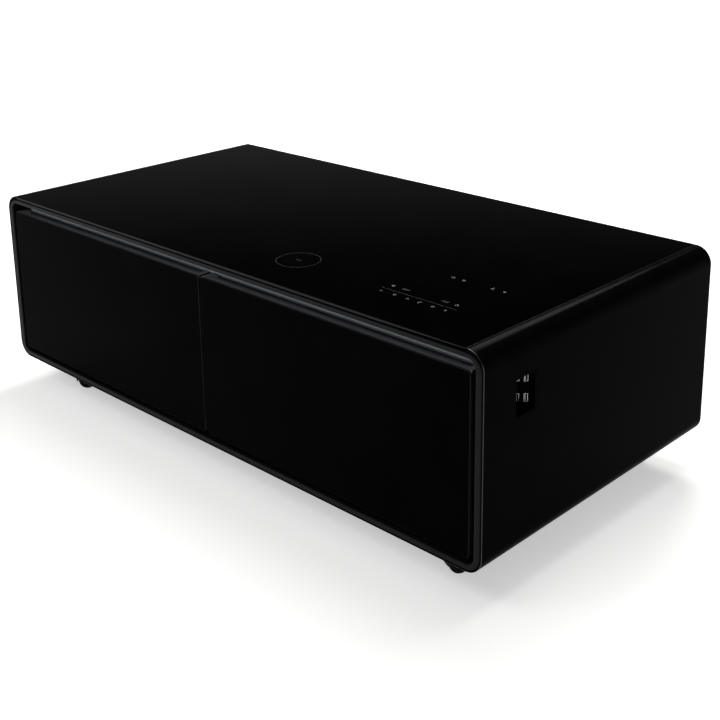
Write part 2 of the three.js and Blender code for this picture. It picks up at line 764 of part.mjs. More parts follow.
function controlBoard() {
  const y = FOAM_BACK + 8;
  const { x0, x1, z0, z1, sheet } = BOARD;
  const inset = 8;
  const corners = [x0 + inset, x1 - inset].flatMap((x) => [z0 + inset, z1 - inset].map((z) => [x, z]));
  const posts = corners.map(([x, z]) => prism("y", circle(x, z, 4, 8), FOAM_BACK + FIT, y + LAP));
  const part = (x, z, width, height, tall) => box(x, y + LAP, z, x + width, y + sheet + tall, z + height);
  const transformer = part(x0 + 10, z0 + 110, 40, 35, 28);
  const relay = part(x0 + 65, z0 + 30, 50, 40, 20);
  const connector = part(x0 + 20, z0 + 20, 25, 16, 12);
  const capacitor = prism("y", circle(x0 + 90, z0 + 120, 11, 12), y + LAP, y + 34);
  return join(box(x0, y, z0, x1, y + sheet, z1), ...posts, transformer, relay, connector, capacitor);
}

function suctionPipe() {
  const { x, y, radius: r, foot } = COMPRESSOR;
  const z = foot + 100;
  return tube(
    [
      [x - r - 1, y, z],
      [x - r - 30, y, z],
      [x - r - 60, y - 10, z + 25],
      [x - r - 70, y - 45, z + 45],
      [x - r - 70, FOAM_BACK + 20, z + 45],
      [x - r - 70, FOAM_BACK + FIT, z + 45],
    ],
    4,
    14,
    6,
  );
}

function dischargePipe() {
  const { x, y, radius: r, foot } = COMPRESSOR;
  const c = CONDENSER;
  const middle = (c.y0 + c.y1) / 2;
  return tube(
    [
      [x + r + 1, y, foot + 95],
      [x + r + 30, y, foot + 95],
      [x + r + 60, y + 6, foot + 60],
      [x + r + 100, y + 24, foot + 17],
      [c.x0 - 60, middle, BAY_FLOOR + TRAY.sheet + FIT + 24],
      [c.x0 - 3, middle, BAY_FLOOR + TRAY.sheet + FIT + 24],
    ],
    4,
    18,
    6,
  );
}

// Back cover with two louvre fields and the opening for the mains inlet.
const COVER = { y0: BACK - 6, y1: BACK - 2.5, inset: SHELL_WALL + FIT };
const INLET = { x: -545, z: BOTTOM + 53, half: 14, high: 10.5 };
const LOUVRE = { half: 46, high: 6, pitch: 16, rows: 7, bottom: BOTTOM + 75 };

function backCover() {
  const sheet = prism("y", insideShell(COVER.inset, SHEET_UNDER - FIT), COVER.y0, COVER.y1);
  const slots = [-285, -175, 155, 265].flatMap((x) =>
    Array.from({ length: LOUVRE.rows }, (_, row) => {
      const z = LOUVRE.bottom + row * LOUVRE.pitch;
      return box(x - LOUVRE.half, COVER.y0 - LAP, z, x + LOUVRE.half, COVER.y1 + LAP, z + LOUVRE.high);
    }),
  );
  const inlet = box(
    INLET.x - INLET.half - FIT, COVER.y0 - LAP, INLET.z - INLET.high - FIT,
    INLET.x + INLET.half + FIT, COVER.y1 + LAP, INLET.z + INLET.high + FIT,
  );
  return cut(sheet, ...slots, inlet);
}

// Three-pin mains inlet in the back cover.
function mainsInlet() {
  const i = INLET;
  const face = roundedRect(i.x - 25, i.z - 13, i.x + 25, i.z + 13, 5, 3);
  const flange = prism("y", face, COVER.y1 + FIT / 2, BACK, { bevel: 0.5 });
  const body = box(i.x - i.half, COVER.y0 - 18, i.z - i.high, i.x + i.half, COVER.y1 + LAP, i.z + i.high);
  const mouth = { half: i.half - 2, high: i.high - 2.5 };
  const socket = box(
    i.x - mouth.half, COVER.y0 - 14, i.z - mouth.high,
    i.x + mouth.half, BACK + LAP, i.z + mouth.high,
  );
  const pins = [[-7, -1.5], [0, 2], [7, -1.5]].map(([x, z]) =>
    box(i.x + x - 1, COVER.y0 - 15, i.z + z - 2, i.x + x + 1, COVER.y1 - 2, i.z + z + 2),
  );
  return join(cut(join(flange, body), socket), ...pins);
}

// Casters, each in a frame on the floor under its swivel axis, with the wheels trailing towards +Y

const CASTER = { x: 530, y: 263, swivel: -25, trail: 17, wheel: 20, track: 17, axle: 3, kingpin: 3.6 };
const HOOD = { web: 3.4, gap: 0.8, clear: 2.2, thick: 2.3, boss: 42, race: 57 };
const WHEEL_STEPS = 16;
const SWIVEL_TOP = BOTTOM - FIT;

// Top plate with four screw holes, the fixed race and the kingpin.
function casterPlate() {
  const plate = prism("z", roundedRect(-24, -20, 24, 20, 5, 2), SWIVEL_TOP - 2.6, SWIVEL_TOP);
  const corners = [-18, 18].flatMap((x) => [-14, 14].map((y) => [x, y]));
  const holes = corners.map(([x, y]) => rod(x, y, SWIVEL_TOP - 4, BOTTOM + LAP, 2.3, 6));
  const race = turned(
    [
      [0, HOOD.boss + 5],
      [CASTER.kingpin, HOOD.boss + 5],
      [CASTER.kingpin, HOOD.race + FIT],
      [12, HOOD.race + FIT],
      [15, HOOD.race + 4],
      [15, SWIVEL_TOP - LAP],
      [0, SWIVEL_TOP - LAP],
    ],
    12,
  );
  return cut(join(plate, race), ...holes);
}

// Moulded hood of a twin-wheel caster: swivel boss, a web between the wheels and a guard over both.
function casterHood() {
  const { trail, wheel, track, axle, kingpin } = CASTER;
  const { web, clear, thick, boss, race } = HOOD;
  const middle = [trail, wheel];
  const post = turned([[0, boss], [10, boss], [10, boss + 8], [14, boss + 10], [14, race], [0, race]], 16);
  const guardOutline = [
    ...arc(...middle, wheel + clear + thick, 15, 180, 7),
    ...arc(...middle, wheel + clear, 180, 15, 7),
  ];
  const webOutline = [
    at(-8, boss + 6),
    ...arc(...middle, axle + 3.5, 205, 355, 5),
    ...arc(...middle, wheel + clear + LAP, 30, 95, 3),
    at(8, boss + 8),
  ];
  const guard = prism("x", guardOutline, -track, track);
  const bore = rod(0, 0, boss + 4, race + LAP, kingpin + FIT, 12);
  const axleHole = prism("x", circle(...middle, axle + FIT, 12), -web - LAP, web + LAP);
  return cut(join(post, guard, prism("x", webOutline, -web, web)), bore, axleHole);
}

// Two wheels pressed on one axle. The radius is measured to the middle of a facet, which it stands on.
function casterWheels() {
  const { wheel, axle, track, trail } = CASTER;
  const rim = wheel / Math.cos(Math.PI / WHEEL_STEPS);
  const inner = HOOD.web + HOOD.gap;
  const half = [
    [0, track - 1.5],
    [rim - 6, track - 1.5],
    [rim - 1.5, track],
    [rim, track - 2.5],
    [rim, inner],
    [axle, inner],
  ];
  const profile = [...half.map(([r, x]) => [r, -x]), ...half.slice().reverse()];
  const standing = Math.PI / WHEEL_STEPS;
  return turned(profile, WHEEL_STEPS).rotateZ(standing).rotateY(Math.PI / 2).translate(0, trail, wheel);
}

function buildCaster(name, x, y) {
  const caster = new THREE.Group();
  caster.position.set(x, y, 0);
  caster.rotation.z = THREE.MathUtils.degToRad(CASTER.swivel);
  place(caster, `${name}_caster_plate`, casterPlate(), ZINC_STEEL);
  place(caster, `${name}_caster_hood`, casterHood(), MOULDED_BLACK);
  place(caster, `${name}_caster_wheels`, casterWheels(), TREAD);
  return caster;
}

// Assembly

place(table, "outer_shell", outerShell(), SATIN_BLACK);
place(table, "top_glass", topGlass(), BLACK_GLASS);
place(table, "front_bezel", frontBezel(), BEZEL_BLACK);
place(table, "face_frame", faceFrame(), MOULDED_BLACK);
place(table, "light_rail", lightRail(), BEZEL_BLACK);
place(table, "light_strip", lightStrip(), DIFFUSER);
place(table, "foam_body", foamBody(), FOAM);
place(table, "left_liner", liner(-DRAWER_X), WHITE_LINER);
place(table, "right_liner", liner(DRAWER_X), WHITE_LINER);
place(table, "evaporator_plate", evaporatorPlate(), ALUMINIUM);
place(table, "touch_board", touchBoard(), BOARD_GREEN);
place(table, "charger_coil", chargerCoil(), MOULDED_BLACK);

const sideBay = new THREE.Group();
sideBay.position.set(HALF, BAY.y, BAY.z);
place(sideBay, "socket_bezel", socketBezel(), MOULDED_BLACK);
place(sideBay, "usb_sockets", usbSockets(), ZINC_STEEL);
table.add(sideBay);

place(table, "base_tray", baseTray(), ZINC_STEEL);
place(table, "compressor", compressor(), COMPRESSOR_BLACK);
place(table, "condenser", condenser(), ALUMINIUM);
place(table, "fan_shroud", fanShroud(), MOULDED_BLACK);
place(table, "fan_rotor", fanRotor(), MOULDED_BLACK).position.set(FAN.x, (FAN.y0 + FAN.y1) / 2 + 3, FAN.z);
place(table, "control_board", controlBoard(), BOARD_GREEN);
place(table, "suction_pipe", suctionPipe(), COPPER);
place(table, "discharge_pipe", dischargePipe(), COPPER);
place(table, "back_cover", backCover(), MOULDED_BLACK);
place(table, "mains_inlet", mainsInlet(), MOULDED_BLACK);

table.add(buildDrawer("left", -DRAWER_X), buildDrawer("right", DRAWER_X));
for (const [end, y] of [["front", -CASTER.y], ["rear", CASTER.y]]) {
  table.add(buildCaster(`${end}_left`, -CASTER.x, y), buildCaster(`${end}_right`, CASTER.x, y));
}

export default table;
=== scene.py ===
# %% [markdown]
# # Refrigerator coffee table
# A low table with two refrigerated drawers. Its skin is one bent sheet of black lacquered aluminium, the
# top and the drawer fronts are black glass, and four small casters carry it. The CAD model gives every size.
# Here the pieces that the eye reads get finer meshes, and each material its own surface.

import math

import bmesh
import bpy
from mathutils import Matrix, Vector


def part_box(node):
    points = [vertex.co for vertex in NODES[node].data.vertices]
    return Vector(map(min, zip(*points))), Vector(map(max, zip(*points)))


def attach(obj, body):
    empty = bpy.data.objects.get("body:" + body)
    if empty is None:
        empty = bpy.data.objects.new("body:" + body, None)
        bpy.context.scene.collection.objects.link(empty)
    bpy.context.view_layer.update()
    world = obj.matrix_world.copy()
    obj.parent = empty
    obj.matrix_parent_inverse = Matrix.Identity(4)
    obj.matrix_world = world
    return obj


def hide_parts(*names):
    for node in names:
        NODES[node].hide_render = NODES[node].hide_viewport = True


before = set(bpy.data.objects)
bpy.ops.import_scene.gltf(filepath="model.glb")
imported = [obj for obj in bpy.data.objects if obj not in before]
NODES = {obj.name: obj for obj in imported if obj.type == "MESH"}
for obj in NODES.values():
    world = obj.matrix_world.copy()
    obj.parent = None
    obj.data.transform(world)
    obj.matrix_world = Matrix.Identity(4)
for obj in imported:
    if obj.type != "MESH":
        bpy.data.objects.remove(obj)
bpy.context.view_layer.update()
MM = 0.001
SIDES = (("left", -1), ("right", 1))
print("CAD nodes:", len(NODES))

# %% [markdown]
# ## Outlines and lofts
# Nearly all of the visible pieces are made the same way on the real object: one outline, carried along a
# path or drawn in at an edge. So one helper joins a row of loops with the same number of points into a
# skin. A rounded edge is then a few loops, each drawn in a little more than the last, which gives the same
# soft highlight as a bevel but keeps the mesh clean and even.

# %% Outline helpers


def arc(x, y, radius, start, end, steps):
    """Points on an arc, angles in degrees."""
    angles = [math.radians(start + (end - start) * i / steps) for i in range(steps + 1)]
    return [(x + radius * math.cos(a), y + radius * math.sin(a)) for a in angles]


def rounded_rect(x0, y0, x1, y1, radius, steps=8):
    """A rounded rectangle, turning left from its lower right corner."""
    return (
        arc(x1 - radius, y0 + radius, radius, -90, 0, steps)
        + arc(x1 - radius, y1 - radius, radius, 0, 90, steps)
        + arc(x0 + radius, y1 - radius, radius, 90, 180, steps)
        + arc(x0 + radius, y0 + radius, radius, 180, 270, steps)
    )


def edge_steps(radius, steps=4):
    """(drawn in, set back) pairs along a quarter round, from the face to the side."""
    angles = [math.pi / 2 * i / steps for i in range(steps + 1)]
    return [(radius * (1 - math.sin(a)), radius * (1 - math.cos(a))) for a in angles]


def on_axis(axis, outline, along):
    """A loop of points across an axis: (x, z) for y, (y, z) for x and (x, y) for z."""
    if axis == "x":
        return [Vector((along, a, b)) for a, b in outline]
    if axis == "y":
        return [Vector((a, along, b)) for a, b in outline]
    return [Vector((a, b, along)) for a, b in outline]


# %% Mesh helpers

CREASE = 35  # degrees: an edge steeper than this stays sharp


def finish_mesh(name, bm, sharp=CREASE):
    """Turns a bmesh into an object with smooth faces and sharp creases."""
    bmesh.ops.remove_doubles(bm, verts=bm.verts, dist=1e-7)
    bmesh.ops.recalc_face_normals(bm, faces=bm.faces)
    mesh = bpy.data.meshes.new(name)
    bm.to_mesh(mesh)
    bm.free()
    mesh.shade_smooth()
    mesh.set_sharp_from_angle(angle=math.radians(sharp))
    piece = bpy.data.objects.new(name, mesh)
    bpy.context.scene.collection.objects.link(piece)
    return piece


def add_loft(bm, loops, ring=False):
    """Joins loops with quads. A ring closes on itself, and otherwise the two ends are capped."""
    rows = [[bm.verts.new(point) for point in loop] for loop in loops]
    pairs = list(zip(rows, rows[1:])) + ([(rows[-1], rows[0])] if ring else [])
    for low, high in pairs:
        for i in range(len(low)):
            j = (i + 1) % len(low)
            bm.faces.new((low[i], low[j], high[j], high[i]))
    if not ring:
        bm.faces.new(rows[0][::-1])
        bm.faces.new(rows[-1])


def loft(name, loops, ring=False, sharp=CREASE):
    bm = bmesh.new()
    add_loft(bm, loops, ring)
    return finish_mesh(name, bm, sharp)


def flat_normals(piece):
    """Weights the normals by face area, so that large flat faces stay flat beside a rounded edge."""
    modifier = piece.modifiers.new("face_weighted_normals", "WEIGHTED_NORMAL")
    modifier.keep_sharp = True
    modifier.weight = 100
    return piece


def cut(piece, *cutters):
    """Cuts holes with other meshes, and keeps only the result."""
    for cutter in cutters:
        modifier = piece.modifiers.new("hole", "BOOLEAN")
        modifier.operation = "DIFFERENCE"
        modifier.solver = "EXACT"
        modifier.object = cutter
    bpy.context.view_layer.update()
    result = bpy.data.meshes.new_from_object(piece.evaluated_get(bpy.context.evaluated_depsgraph_get()))
    piece.modifiers.clear()
    piece.data = result
    for cutter in cutters:
        bpy.data.objects.remove(cutter)
    return piece


def prism(name, axis, outline, start, end):
    return loft(name, [on_axis(axis, outline, start), on_axis(axis, outline, end)])


def settle(piece, body, material, slot, *replaced):
    """Gives a piece its material, its CAD body and the nodes that it stands for."""
    piece.data.materials.clear()
    piece.data.materials.append(material)
    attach(piece, body)
    if replaced:
        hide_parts(*replaced)
    return piece


FLAT_FACE = 0.98  # a face whose normal has this much along an axis counts as facing that way


def paint(piece, finish, chosen):
    """Gives a second finish to the faces that the test chooses."""
    piece.data.materials.append(finish)
    for face in piece.data.polygons:
        if chosen(face):
            face.material_index = len(piece.data.materials) - 1


# %% [markdown]
# ## Materials
# Colours are written as sRGB hex, as a paint card has them, and one function turns them to the linear
# values that the shader wants. One more function adds a node with its settings and its links, so that a
# material reads as a short list. Coordinates are the object's own, in metres, so a pattern of 2 mm has a
# scale of 1 / 0.002.

# %% Material helpers


def linear(code):
    """sRGB hex to linear RGBA."""
    channels = [int(code[i : i + 2], 16) / 255 for i in (1, 3, 5)]
    return tuple(c / 12.92 if c <= 0.04045 else ((c + 0.055) / 1.055) ** 2.4 for c in channels) + (1.0,)


def add_node(tree, kind, inputs=None, **settings):
    """Adds a node, sets its options, and sets or links each named input."""
    new = tree.nodes.new(kind)
    for key, value in settings.items():
        setattr(new, key, value)
    for key, value in (inputs or {}).items():
        if isinstance(value, bpy.types.NodeSocket):
            tree.links.new(value, new.inputs[key])
        else:
            new.inputs[key].default_value = value
    return new


def gloss(ior, level):
    """How strongly a surface mirrors that isn't metal. A level of 0.5 is what its IOR gives by itself."""
    return {"IOR": ior, "Specular IOR Level": level}


def material(name, code, roughness, metallic=0.0, **sockets):
    """A principled material with its plain values set on the shader's own sockets."""
    new = bpy.data.materials.new(name)
    new.use_nodes = True
    shader = new.node_tree.nodes["Principled BSDF"]
    plain = {"Base Color": linear(code), "Roughness": roughness, "Metallic": metallic}
    for key, value in {**plain, **sockets}.items():
        shader.inputs[key].default_value = value
    return new, new.node_tree, shader


NOISE_LOW, NOISE_HIGH = 0.3, 0.7  # noise stays mostly between these
ROUND_BLOTS = (1, 1, 1)


def pattern(tree, size_mm, onto=None, detail=2.0, stretch=ROUND_BLOTS):
    """Noise whose blots are about size_mm across, in the object's own space, spread onto a range if given."""
    place = add_node(tree, "ShaderNodeTexCoord")
    mapping = add_node(tree, "ShaderNodeMapping", {"Vector": place.outputs["Object"], "Scale": stretch})
    inputs = {"Vector": mapping.outputs["Vector"], "Scale": 1 / (size_mm * MM), "Detail": detail}
    value = add_node(tree, "ShaderNodeTexNoise", inputs).outputs["Fac"]
    if onto:
        inputs = {"Value": value, "From Min": NOISE_LOW, "From Max": NOISE_HIGH}
        inputs |= {"To Min": onto[0], "To Max": onto[1]}
        value = add_node(tree, "ShaderNodeMapRange", inputs).outputs["Result"]
    return value


def vary_roughness(tree, shader, size_mm, low, high, stretch=ROUND_BLOTS):
    value = pattern(tree, size_mm, (low, high), stretch=stretch)
    tree.links.new(value, shader.inputs["Roughness"])


def vary_colour(tree, shader, size_mm, dark, light, stretch=ROUND_BLOTS):
    factor = pattern(tree, size_mm, (0.0, 1.0), 4.0, stretch)
    inputs = {"Factor": factor, "A": linear(dark), "B": linear(light)}
    mix = add_node(tree, "ShaderNodeMix", inputs, data_type="RGBA")
    tree.links.new(mix.outputs["Result"], shader.inputs["Base Color"])


def bump(tree, shader, size_mm, depth_mm, strength=0.5, stretch=ROUND_BLOTS):
    height = pattern(tree, size_mm, stretch=stretch)
    inputs = {"Height": height, "Distance": depth_mm * MM, "Strength": strength}
    relief = add_node(tree, "ShaderNodeBump", inputs)
    tree.links.new(relief.outputs["Normal"], shader.inputs["Normal"])


# %% [markdown]
# ## Black glass
# Soda-lime float glass, toughened and enamelled black on its back. Float glass is polished by its own
# surface tension, so it mirrors sharply, with only a faint haze of wiping marks some centimetres wide.
# Its real IOR is 1.52, but the photograph shows hardly any reflection in it, so the specular level is
# lowered until the mirror image is as dim as it is there.

# %% Glass materials


def enamelled_glass():
    glass, tree, shader = material("enamelled_float_glass", "#020202", 0.03, **gloss(1.52, 0.0045))
    vary_roughness(tree, shader, 90, 0.015, 0.05)
    vary_colour(tree, shader, 140, "#010101", "#030303")
    return glass


def ground_edge():
    """The edge of a pane is ground with a fine wheel, which leaves it grey and matt."""
    edge, tree, shader = material("ground_glass_edge", "#202123", 0.4, **gloss(1.52, 0.06))
    vary_colour(tree, shader, 4, "#1c1d1e", "#242527")
    bump(tree, shader, 1.0, 0.02, 0.4)
    return edge


BLACK_GLASS = enamelled_glass()
GROUND_EDGE = ground_edge()
print("glass:", BLACK_GLASS.name, "and", GROUND_EDGE.name)

# %% [markdown]
# ## Lacquer and mouldings
# The shell is aluminium sheet with a satin black lacquer, sprayed and baked: a very fine orange peel of
# about 2 mm softens what it mirrors. The bezel, the bay and the back cover are ABS, and the casters are
# nylon, moulded in a tool with a fine spark-eroded grain of about 0.4 mm, drawn here at 0.8 mm so that it
# shows. Their IORs are the real ones, and as on the glass the level is brought down to the photograph's.

# %% Lacquer and moulded plastics


def satin_lacquer():
    lacquer, tree, shader = material("satin_lacquer", "#060607", 0.2, **gloss(1.5, 0.003))
    vary_roughness(tree, shader, 30, 0.17, 0.24)
    vary_colour(tree, shader, 60, "#050506", "#070708")
    bump(tree, shader, 2.0, 0.02, 0.35)
    return lacquer


def grained_abs(name, dark, light, roughness=0.5, level=0.3):
    plastic, tree, shader = material(name, dark, roughness, **gloss(1.54, level))
    vary_roughness(tree, shader, 12, roughness - 0.05, roughness + 0.06)
    vary_colour(tree, shader, 25, dark, light)
    bump(tree, shader, 0.8, 0.03, 0.4)
    return plastic


def edge_lacquer_and_painted_highlight():
    """Glossier lacquer on the deburred edge of the sheet. Its lighter colour is a painted highlight: the light
    line that the round edge catches.
    """
    lacquer, tree, shader = material("sheet_edge_lacquer_and_painted_highlight", "#141416", 0.13, **gloss(1.5, 0.45))
    vary_roughness(tree, shader, 12, 0.11, 0.16)
    vary_colour(tree, shader, 20, "#121214", "#18181a")
    return lacquer


SHELL_LACQUER = satin_lacquer()
EDGE_LACQUER_AND_PAINTED_HIGHLIGHT = edge_lacquer_and_painted_highlight()
BEZEL_ABS = grained_abs("graphite_abs", "#101112", "#161719", 0.36, 0.045)
BAY_ABS = grained_abs("matt_black_abs", "#050506", "#09090a", 0.5, 0.005)
BLACK_ABS = grained_abs("black_abs", "#0d0d0e", "#131314")
CASTER_NYLON = grained_abs("black_nylon", "#070708", "#0c0c0d", 0.55, 0.08)
BACK_ABS = grained_abs("ribbed_back_abs", "#0d0d0e", "#121213", 0.6, 0.08)
print("shell and frame:", SHELL_LACQUER.name, "and", BEZEL_ABS.name)

# %% [markdown]
# ## Metals
# The finger pull and the light rail are extruded aluminium, brushed along their length and anodised dark.
# Brushing leaves fine scratches, so the noise is stretched a hundredfold along x. Runners, tray and caster
# plates are zinc plated steel, with the faint spangle of a passivated coating. The pipes are drawn copper,
# and fins and cooling plate are aluminium as it leaves the mill, a little dull. In the sockets the shells
# are nickel plated, which is smoother and warmer than zinc, and the contacts have a film of gold.

# %% Metal materials


def brushed_anodised(name, dark, light, roughness):
    metal, tree, shader = material(name, dark, roughness, 1.0)
    along = (0.01, 1, 1)
    vary_colour(tree, shader, 0.9, dark, light, along)
    vary_roughness(tree, shader, 0.9, roughness - 0.06, roughness + 0.08, along)
    bump(tree, shader, 0.7, 0.01, 0.25, along)
    return metal


def plain_metal(name, dark, light, roughness, spot_mm):
    metal, tree, shader = material(name, dark, roughness, 1.0)
    vary_colour(tree, shader, spot_mm, dark, light)
    vary_roughness(tree, shader, spot_mm * 2, roughness - 0.07, roughness + 0.08)
    bump(tree, shader, 1.2, 0.02, 0.3)
    return metal


ANODISED_GREY = brushed_anodised("anodised_grey_aluminium", "#8b8d90", "#9a9c9f", 0.58)
ANODISED_DARK = brushed_anodised("anodised_dark_aluminium", "#37383b", "#424347", 0.38)
ZINC_STEEL = plain_metal("zinc_plated_steel", "#a3a7ab", "#b9bcbf", 0.36, 9)
NICKEL_STEEL = plain_metal("nickel_plated_steel", "#c9c8c4", "#d9d8d5", 0.22, 6)
MILL_ALUMINIUM = plain_metal("mill_finish_aluminium", "#b9bcbf", "#cfd1d3", 0.4, 14)
COPPER_TUBE = plain_metal("drawn_copper", "#a5603f", "#c47d57", 0.34, 18)
GOLD_CONTACT = plain_metal("gold_plated_contact", "#c79a4b", "#dcb268", 0.28, 2)
print("finger pulls:", ANODISED_GREY.name)

# %% [markdown]
# ## Plastics, foam and rubber inside
# The liners and tubs are white high-impact polystyrene, drawn by vacuum over a mould, which leaves a soft
# gloss with a slight ripple. The diffuser is frosted acrylic. Rigid polyurethane foam shows its cells where
# it is cut. The seal is soft black PVC, the tyres are thermoplastic rubber, and the boards are glass-fibre
# epoxy under a green solder mask. The tongues in the sockets are a pale moulded plastic, so they show in
# the dark bay. The printing is grey ink, dull where it dried. The finest lines are drawn wider than they
# are so that they show, and their ink is darker to make up for it.

# %% Inner materials


def soft_plastic(name, dark, light, roughness, ripple_mm, level=0.5):
    plastic, tree, shader = material(name, dark, roughness, **gloss(1.55, level))
    vary_colour(tree, shader, 120, dark, light)
    vary_roughness(tree, shader, 40, roughness - 0.05, roughness + 0.07)
    bump(tree, shader, ripple_mm, 0.04, 0.3)
    return plastic


def cut_foam():
    foam, tree, shader = material("polyurethane_foam", "#cbbd8d", 0.95, IOR=1.4)
    vary_colour(tree, shader, 3.0, "#bcae7e", "#dcd0a6")
    bump(tree, shader, 1.5, 0.5, 0.8)
    return foam


WHITE_POLYSTYRENE = soft_plastic("white_polystyrene", "#dfe1e2", "#e7e9ea", 0.4, 22, 0.35)
FROSTED_ACRYLIC = soft_plastic("frosted_acrylic", "#95979b", "#9fa1a5", 0.5, 5, 0.4)
SEAL_PVC = soft_plastic("soft_black_pvc", "#1b1c1d", "#242526", 0.62, 3, 0.3)
TREAD_RUBBER = soft_plastic("tread_rubber", "#080809", "#0d0d0e", 0.6, 1.4, 0.06)
SOLDER_MASK = soft_plastic("green_solder_mask", "#16492b", "#1f5a36", 0.4, 2)
COMPRESSOR_ENAMEL = soft_plastic("black_enamel", "#101113", "#17181a", 0.4, 3)
TONGUE_LCP = soft_plastic("pale_socket_lcp", "#b9bab8", "#c8c9c7", 0.45, 2, 0.3)
FINE_INK = soft_plastic("thin_grey_screen_ink", "#56575a", "#606264", 0.6, 1, 0.1)
SCREEN_INK = soft_plastic("grey_screen_ink", "#8b8d90", "#989a9d", 0.6, 1, 0.3)
POLYURETHANE_FOAM = cut_foam()
print("materials:", len(bpy.data.materials))

# %% [markdown]
# ## Shell
# One skin of sheet runs round the four long edges. The top of the sheet steps down by the thickness of
# the glass, which lies in the step. A cube with a bevel would have the same outside, but not the step and
# the even wall. A loft of one outline from front to back is the bent sheet, and the first and last loops
# are drawn in, because a cut edge of sheet is deburred before it is lacquered.

# %% Shell outlines

FIT = 0.4 * MM  # clearance between pieces that lie in each other
SHELL_WALL, SHELL_RADIUS = 3 * MM, 32 * MM
CORNER_STEPS = 20

shell_low, shell_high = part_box("outer_shell")
glass_low, glass_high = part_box("top_glass")
GLASS_SEAT = glass_low.z - FIT
STEP_EDGE = glass_high.x + FIT


def frame_outline(half, low, high, radius, along_top):
    """(x, z) outline with four rounded corners and more points along the top, turning left."""
    left, right = radius - half, half - radius
    return (
        arc(right, low + radius, radius, -90, 0, CORNER_STEPS)
        + arc(right, high - radius, radius, 0, 90, CORNER_STEPS)
        + along_top
        + arc(left, high - radius, radius, 90, 180, CORNER_STEPS)
        + arc(left, low + radius, radius, 180, 270, CORNER_STEPS)
    )


def shell_outline(inset):
    """Outer outline of the shell, with the step that the glass lies in."""
    top = shell_high.z - inset
    edge = STEP_EDGE + inset
    step = [(edge, top), (edge, GLASS_SEAT), (-edge, GLASS_SEAT), (-edge, top)]
    return frame_outline(shell_high.x - inset, shell_low.z + inset, top, SHELL_RADIUS - inset, step)


def shell_inside():
    """Inner outline, with as many points as the outer one."""
    top = GLASS_SEAT - SHELL_WALL
    under = [(x * MM, top) for x in (600, 200, -200, -600)]
    radius = SHELL_RADIUS - SHELL_WALL
    return frame_outline(shell_high.x - SHELL_WALL, shell_low.z + SHELL_WALL, top, radius, under)


# %% Shell skin and its holes

DEBURR = 1.1 * MM
EDGE_BAND = DEBURR * 1.05
BAY_CORNER, TOUCH_CORNER = 4.9 * MM, 6 * MM
CUT_IN, CUT_OUT = 5 * MM, 1 * MM  # how far a cutter reaches into the sheet and out of it


def make_shell():
    steps = edge_steps(DEBURR)
    front = [on_axis("y", shell_outline(inset), shell_low.y + back) for inset, back in steps]
    rear = [on_axis("y", shell_outline(inset), shell_high.y - back) for inset, back in steps]
    inside = [on_axis("y", shell_inside(), y) for y in (shell_high.y, shell_low.y)]
    return loft("shell_skin", front + rear[::-1] + inside, ring=True)


def hole_around(low, high, radius):
    """A rounded rectangle with the clearance on every side."""
    return rounded_rect(low[0] - FIT, low[1] - FIT, high[0] + FIT, high[1] + FIT, radius)


def at_cut_edge(face):
    """Whether a face belongs to the deburred edge at the front or the back."""
    near = min(face.center.y - shell_low.y, shell_high.y - face.center.y)
    return abs(face.normal.y) < FLAT_FACE and near < EDGE_BAND


shell = make_shell()
bay_low, bay_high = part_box("socket_bezel")
coil_low, coil_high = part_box("charger_coil")
touch_low, touch_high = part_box("touch_board")
coil_middle = (coil_low + coil_high) / 2
bay_hole = hole_around(bay_low.yz, bay_high.yz, BAY_CORNER)
coil_hole = arc(coil_middle.x, coil_middle.y, coil_high.x - coil_middle.x + 2 * FIT, 0, 360, 48)[:-1]
touch_hole = hole_around(touch_low.xy, touch_high.xy, TOUCH_CORNER)
under_glass = (GLASS_SEAT - CUT_IN, GLASS_SEAT + CUT_OUT)
cut(
    shell,
    prism("bay_cutter", "x", bay_hole, shell_high.x - CUT_IN, shell_high.x + CUT_OUT),
    prism("coil_cutter", "z", coil_hole, *under_glass),
    prism("touch_cutter", "z", touch_hole, *under_glass),
)
shell.data.shade_smooth()
shell.data.set_sharp_from_angle(angle=math.radians(CREASE))
flat_normals(settle(shell, "cabinet", SHELL_LACQUER, "shell_paint", "outer_shell"))
# The deburred edge gets the glossier lacquer, and its lighter colour is a painted highlight along the round
paint(shell, EDGE_LACQUER_AND_PAINTED_HIGHLIGHT, at_cut_edge)
print("shell faces:", len(shell.data.polygons))

# %% [markdown]
# ## Glass panes
# The top and the two drawer fronts are cut from sheet, ground and polished along their edges. The small
# round of a ground edge is what draws the thin light line around each pane in the photograph. A bevel
# modifier would round both edges alike. With loops, the face gets the round and the back, which is only
# broken with a stone, a small chamfer.

# %% Glass panes

PANE_EDGE, PANE_BACK_EDGE = 1.0 * MM, 0.3 * MM
TOP_CORNER, FRONT_CORNER = 2.5 * MM, 7 * MM


def inset_outline(low, high, corner, steps):
    """Returns the function that gives a rounded outline, drawn in by an inset."""
    (x0, y0), (x1, y1) = low, high
    return lambda inset: rounded_rect(x0 + inset, y0 + inset, x1 - inset, y1 - inset, corner - inset, steps)


def pane(name, axis, outline, face, back):
    """A pane whose face edge is rounded and whose back edge is only broken."""
    inward = 1 if back > face else -1
    loops = [on_axis(axis, outline(inset), face + inward * depth) for inset, depth in edge_steps(PANE_EDGE)]
    loops.append(on_axis(axis, outline(0), back - inward * PANE_BACK_EDGE))
    loops.append(on_axis(axis, outline(PANE_BACK_EDGE), back))
    return flat_normals(loft(name, loops, sharp=60))


top_outline = inset_outline(glass_low.xy, glass_high.xy, TOP_CORNER, 6)
top_pane = pane("top_pane", "z", top_outline, glass_high.z, glass_low.z)
settle(top_pane, "cabinet", BLACK_GLASS, "black_glass", "top_glass")
paint(top_pane, GROUND_EDGE, lambda face: abs(face.normal.z) < FLAT_FACE)

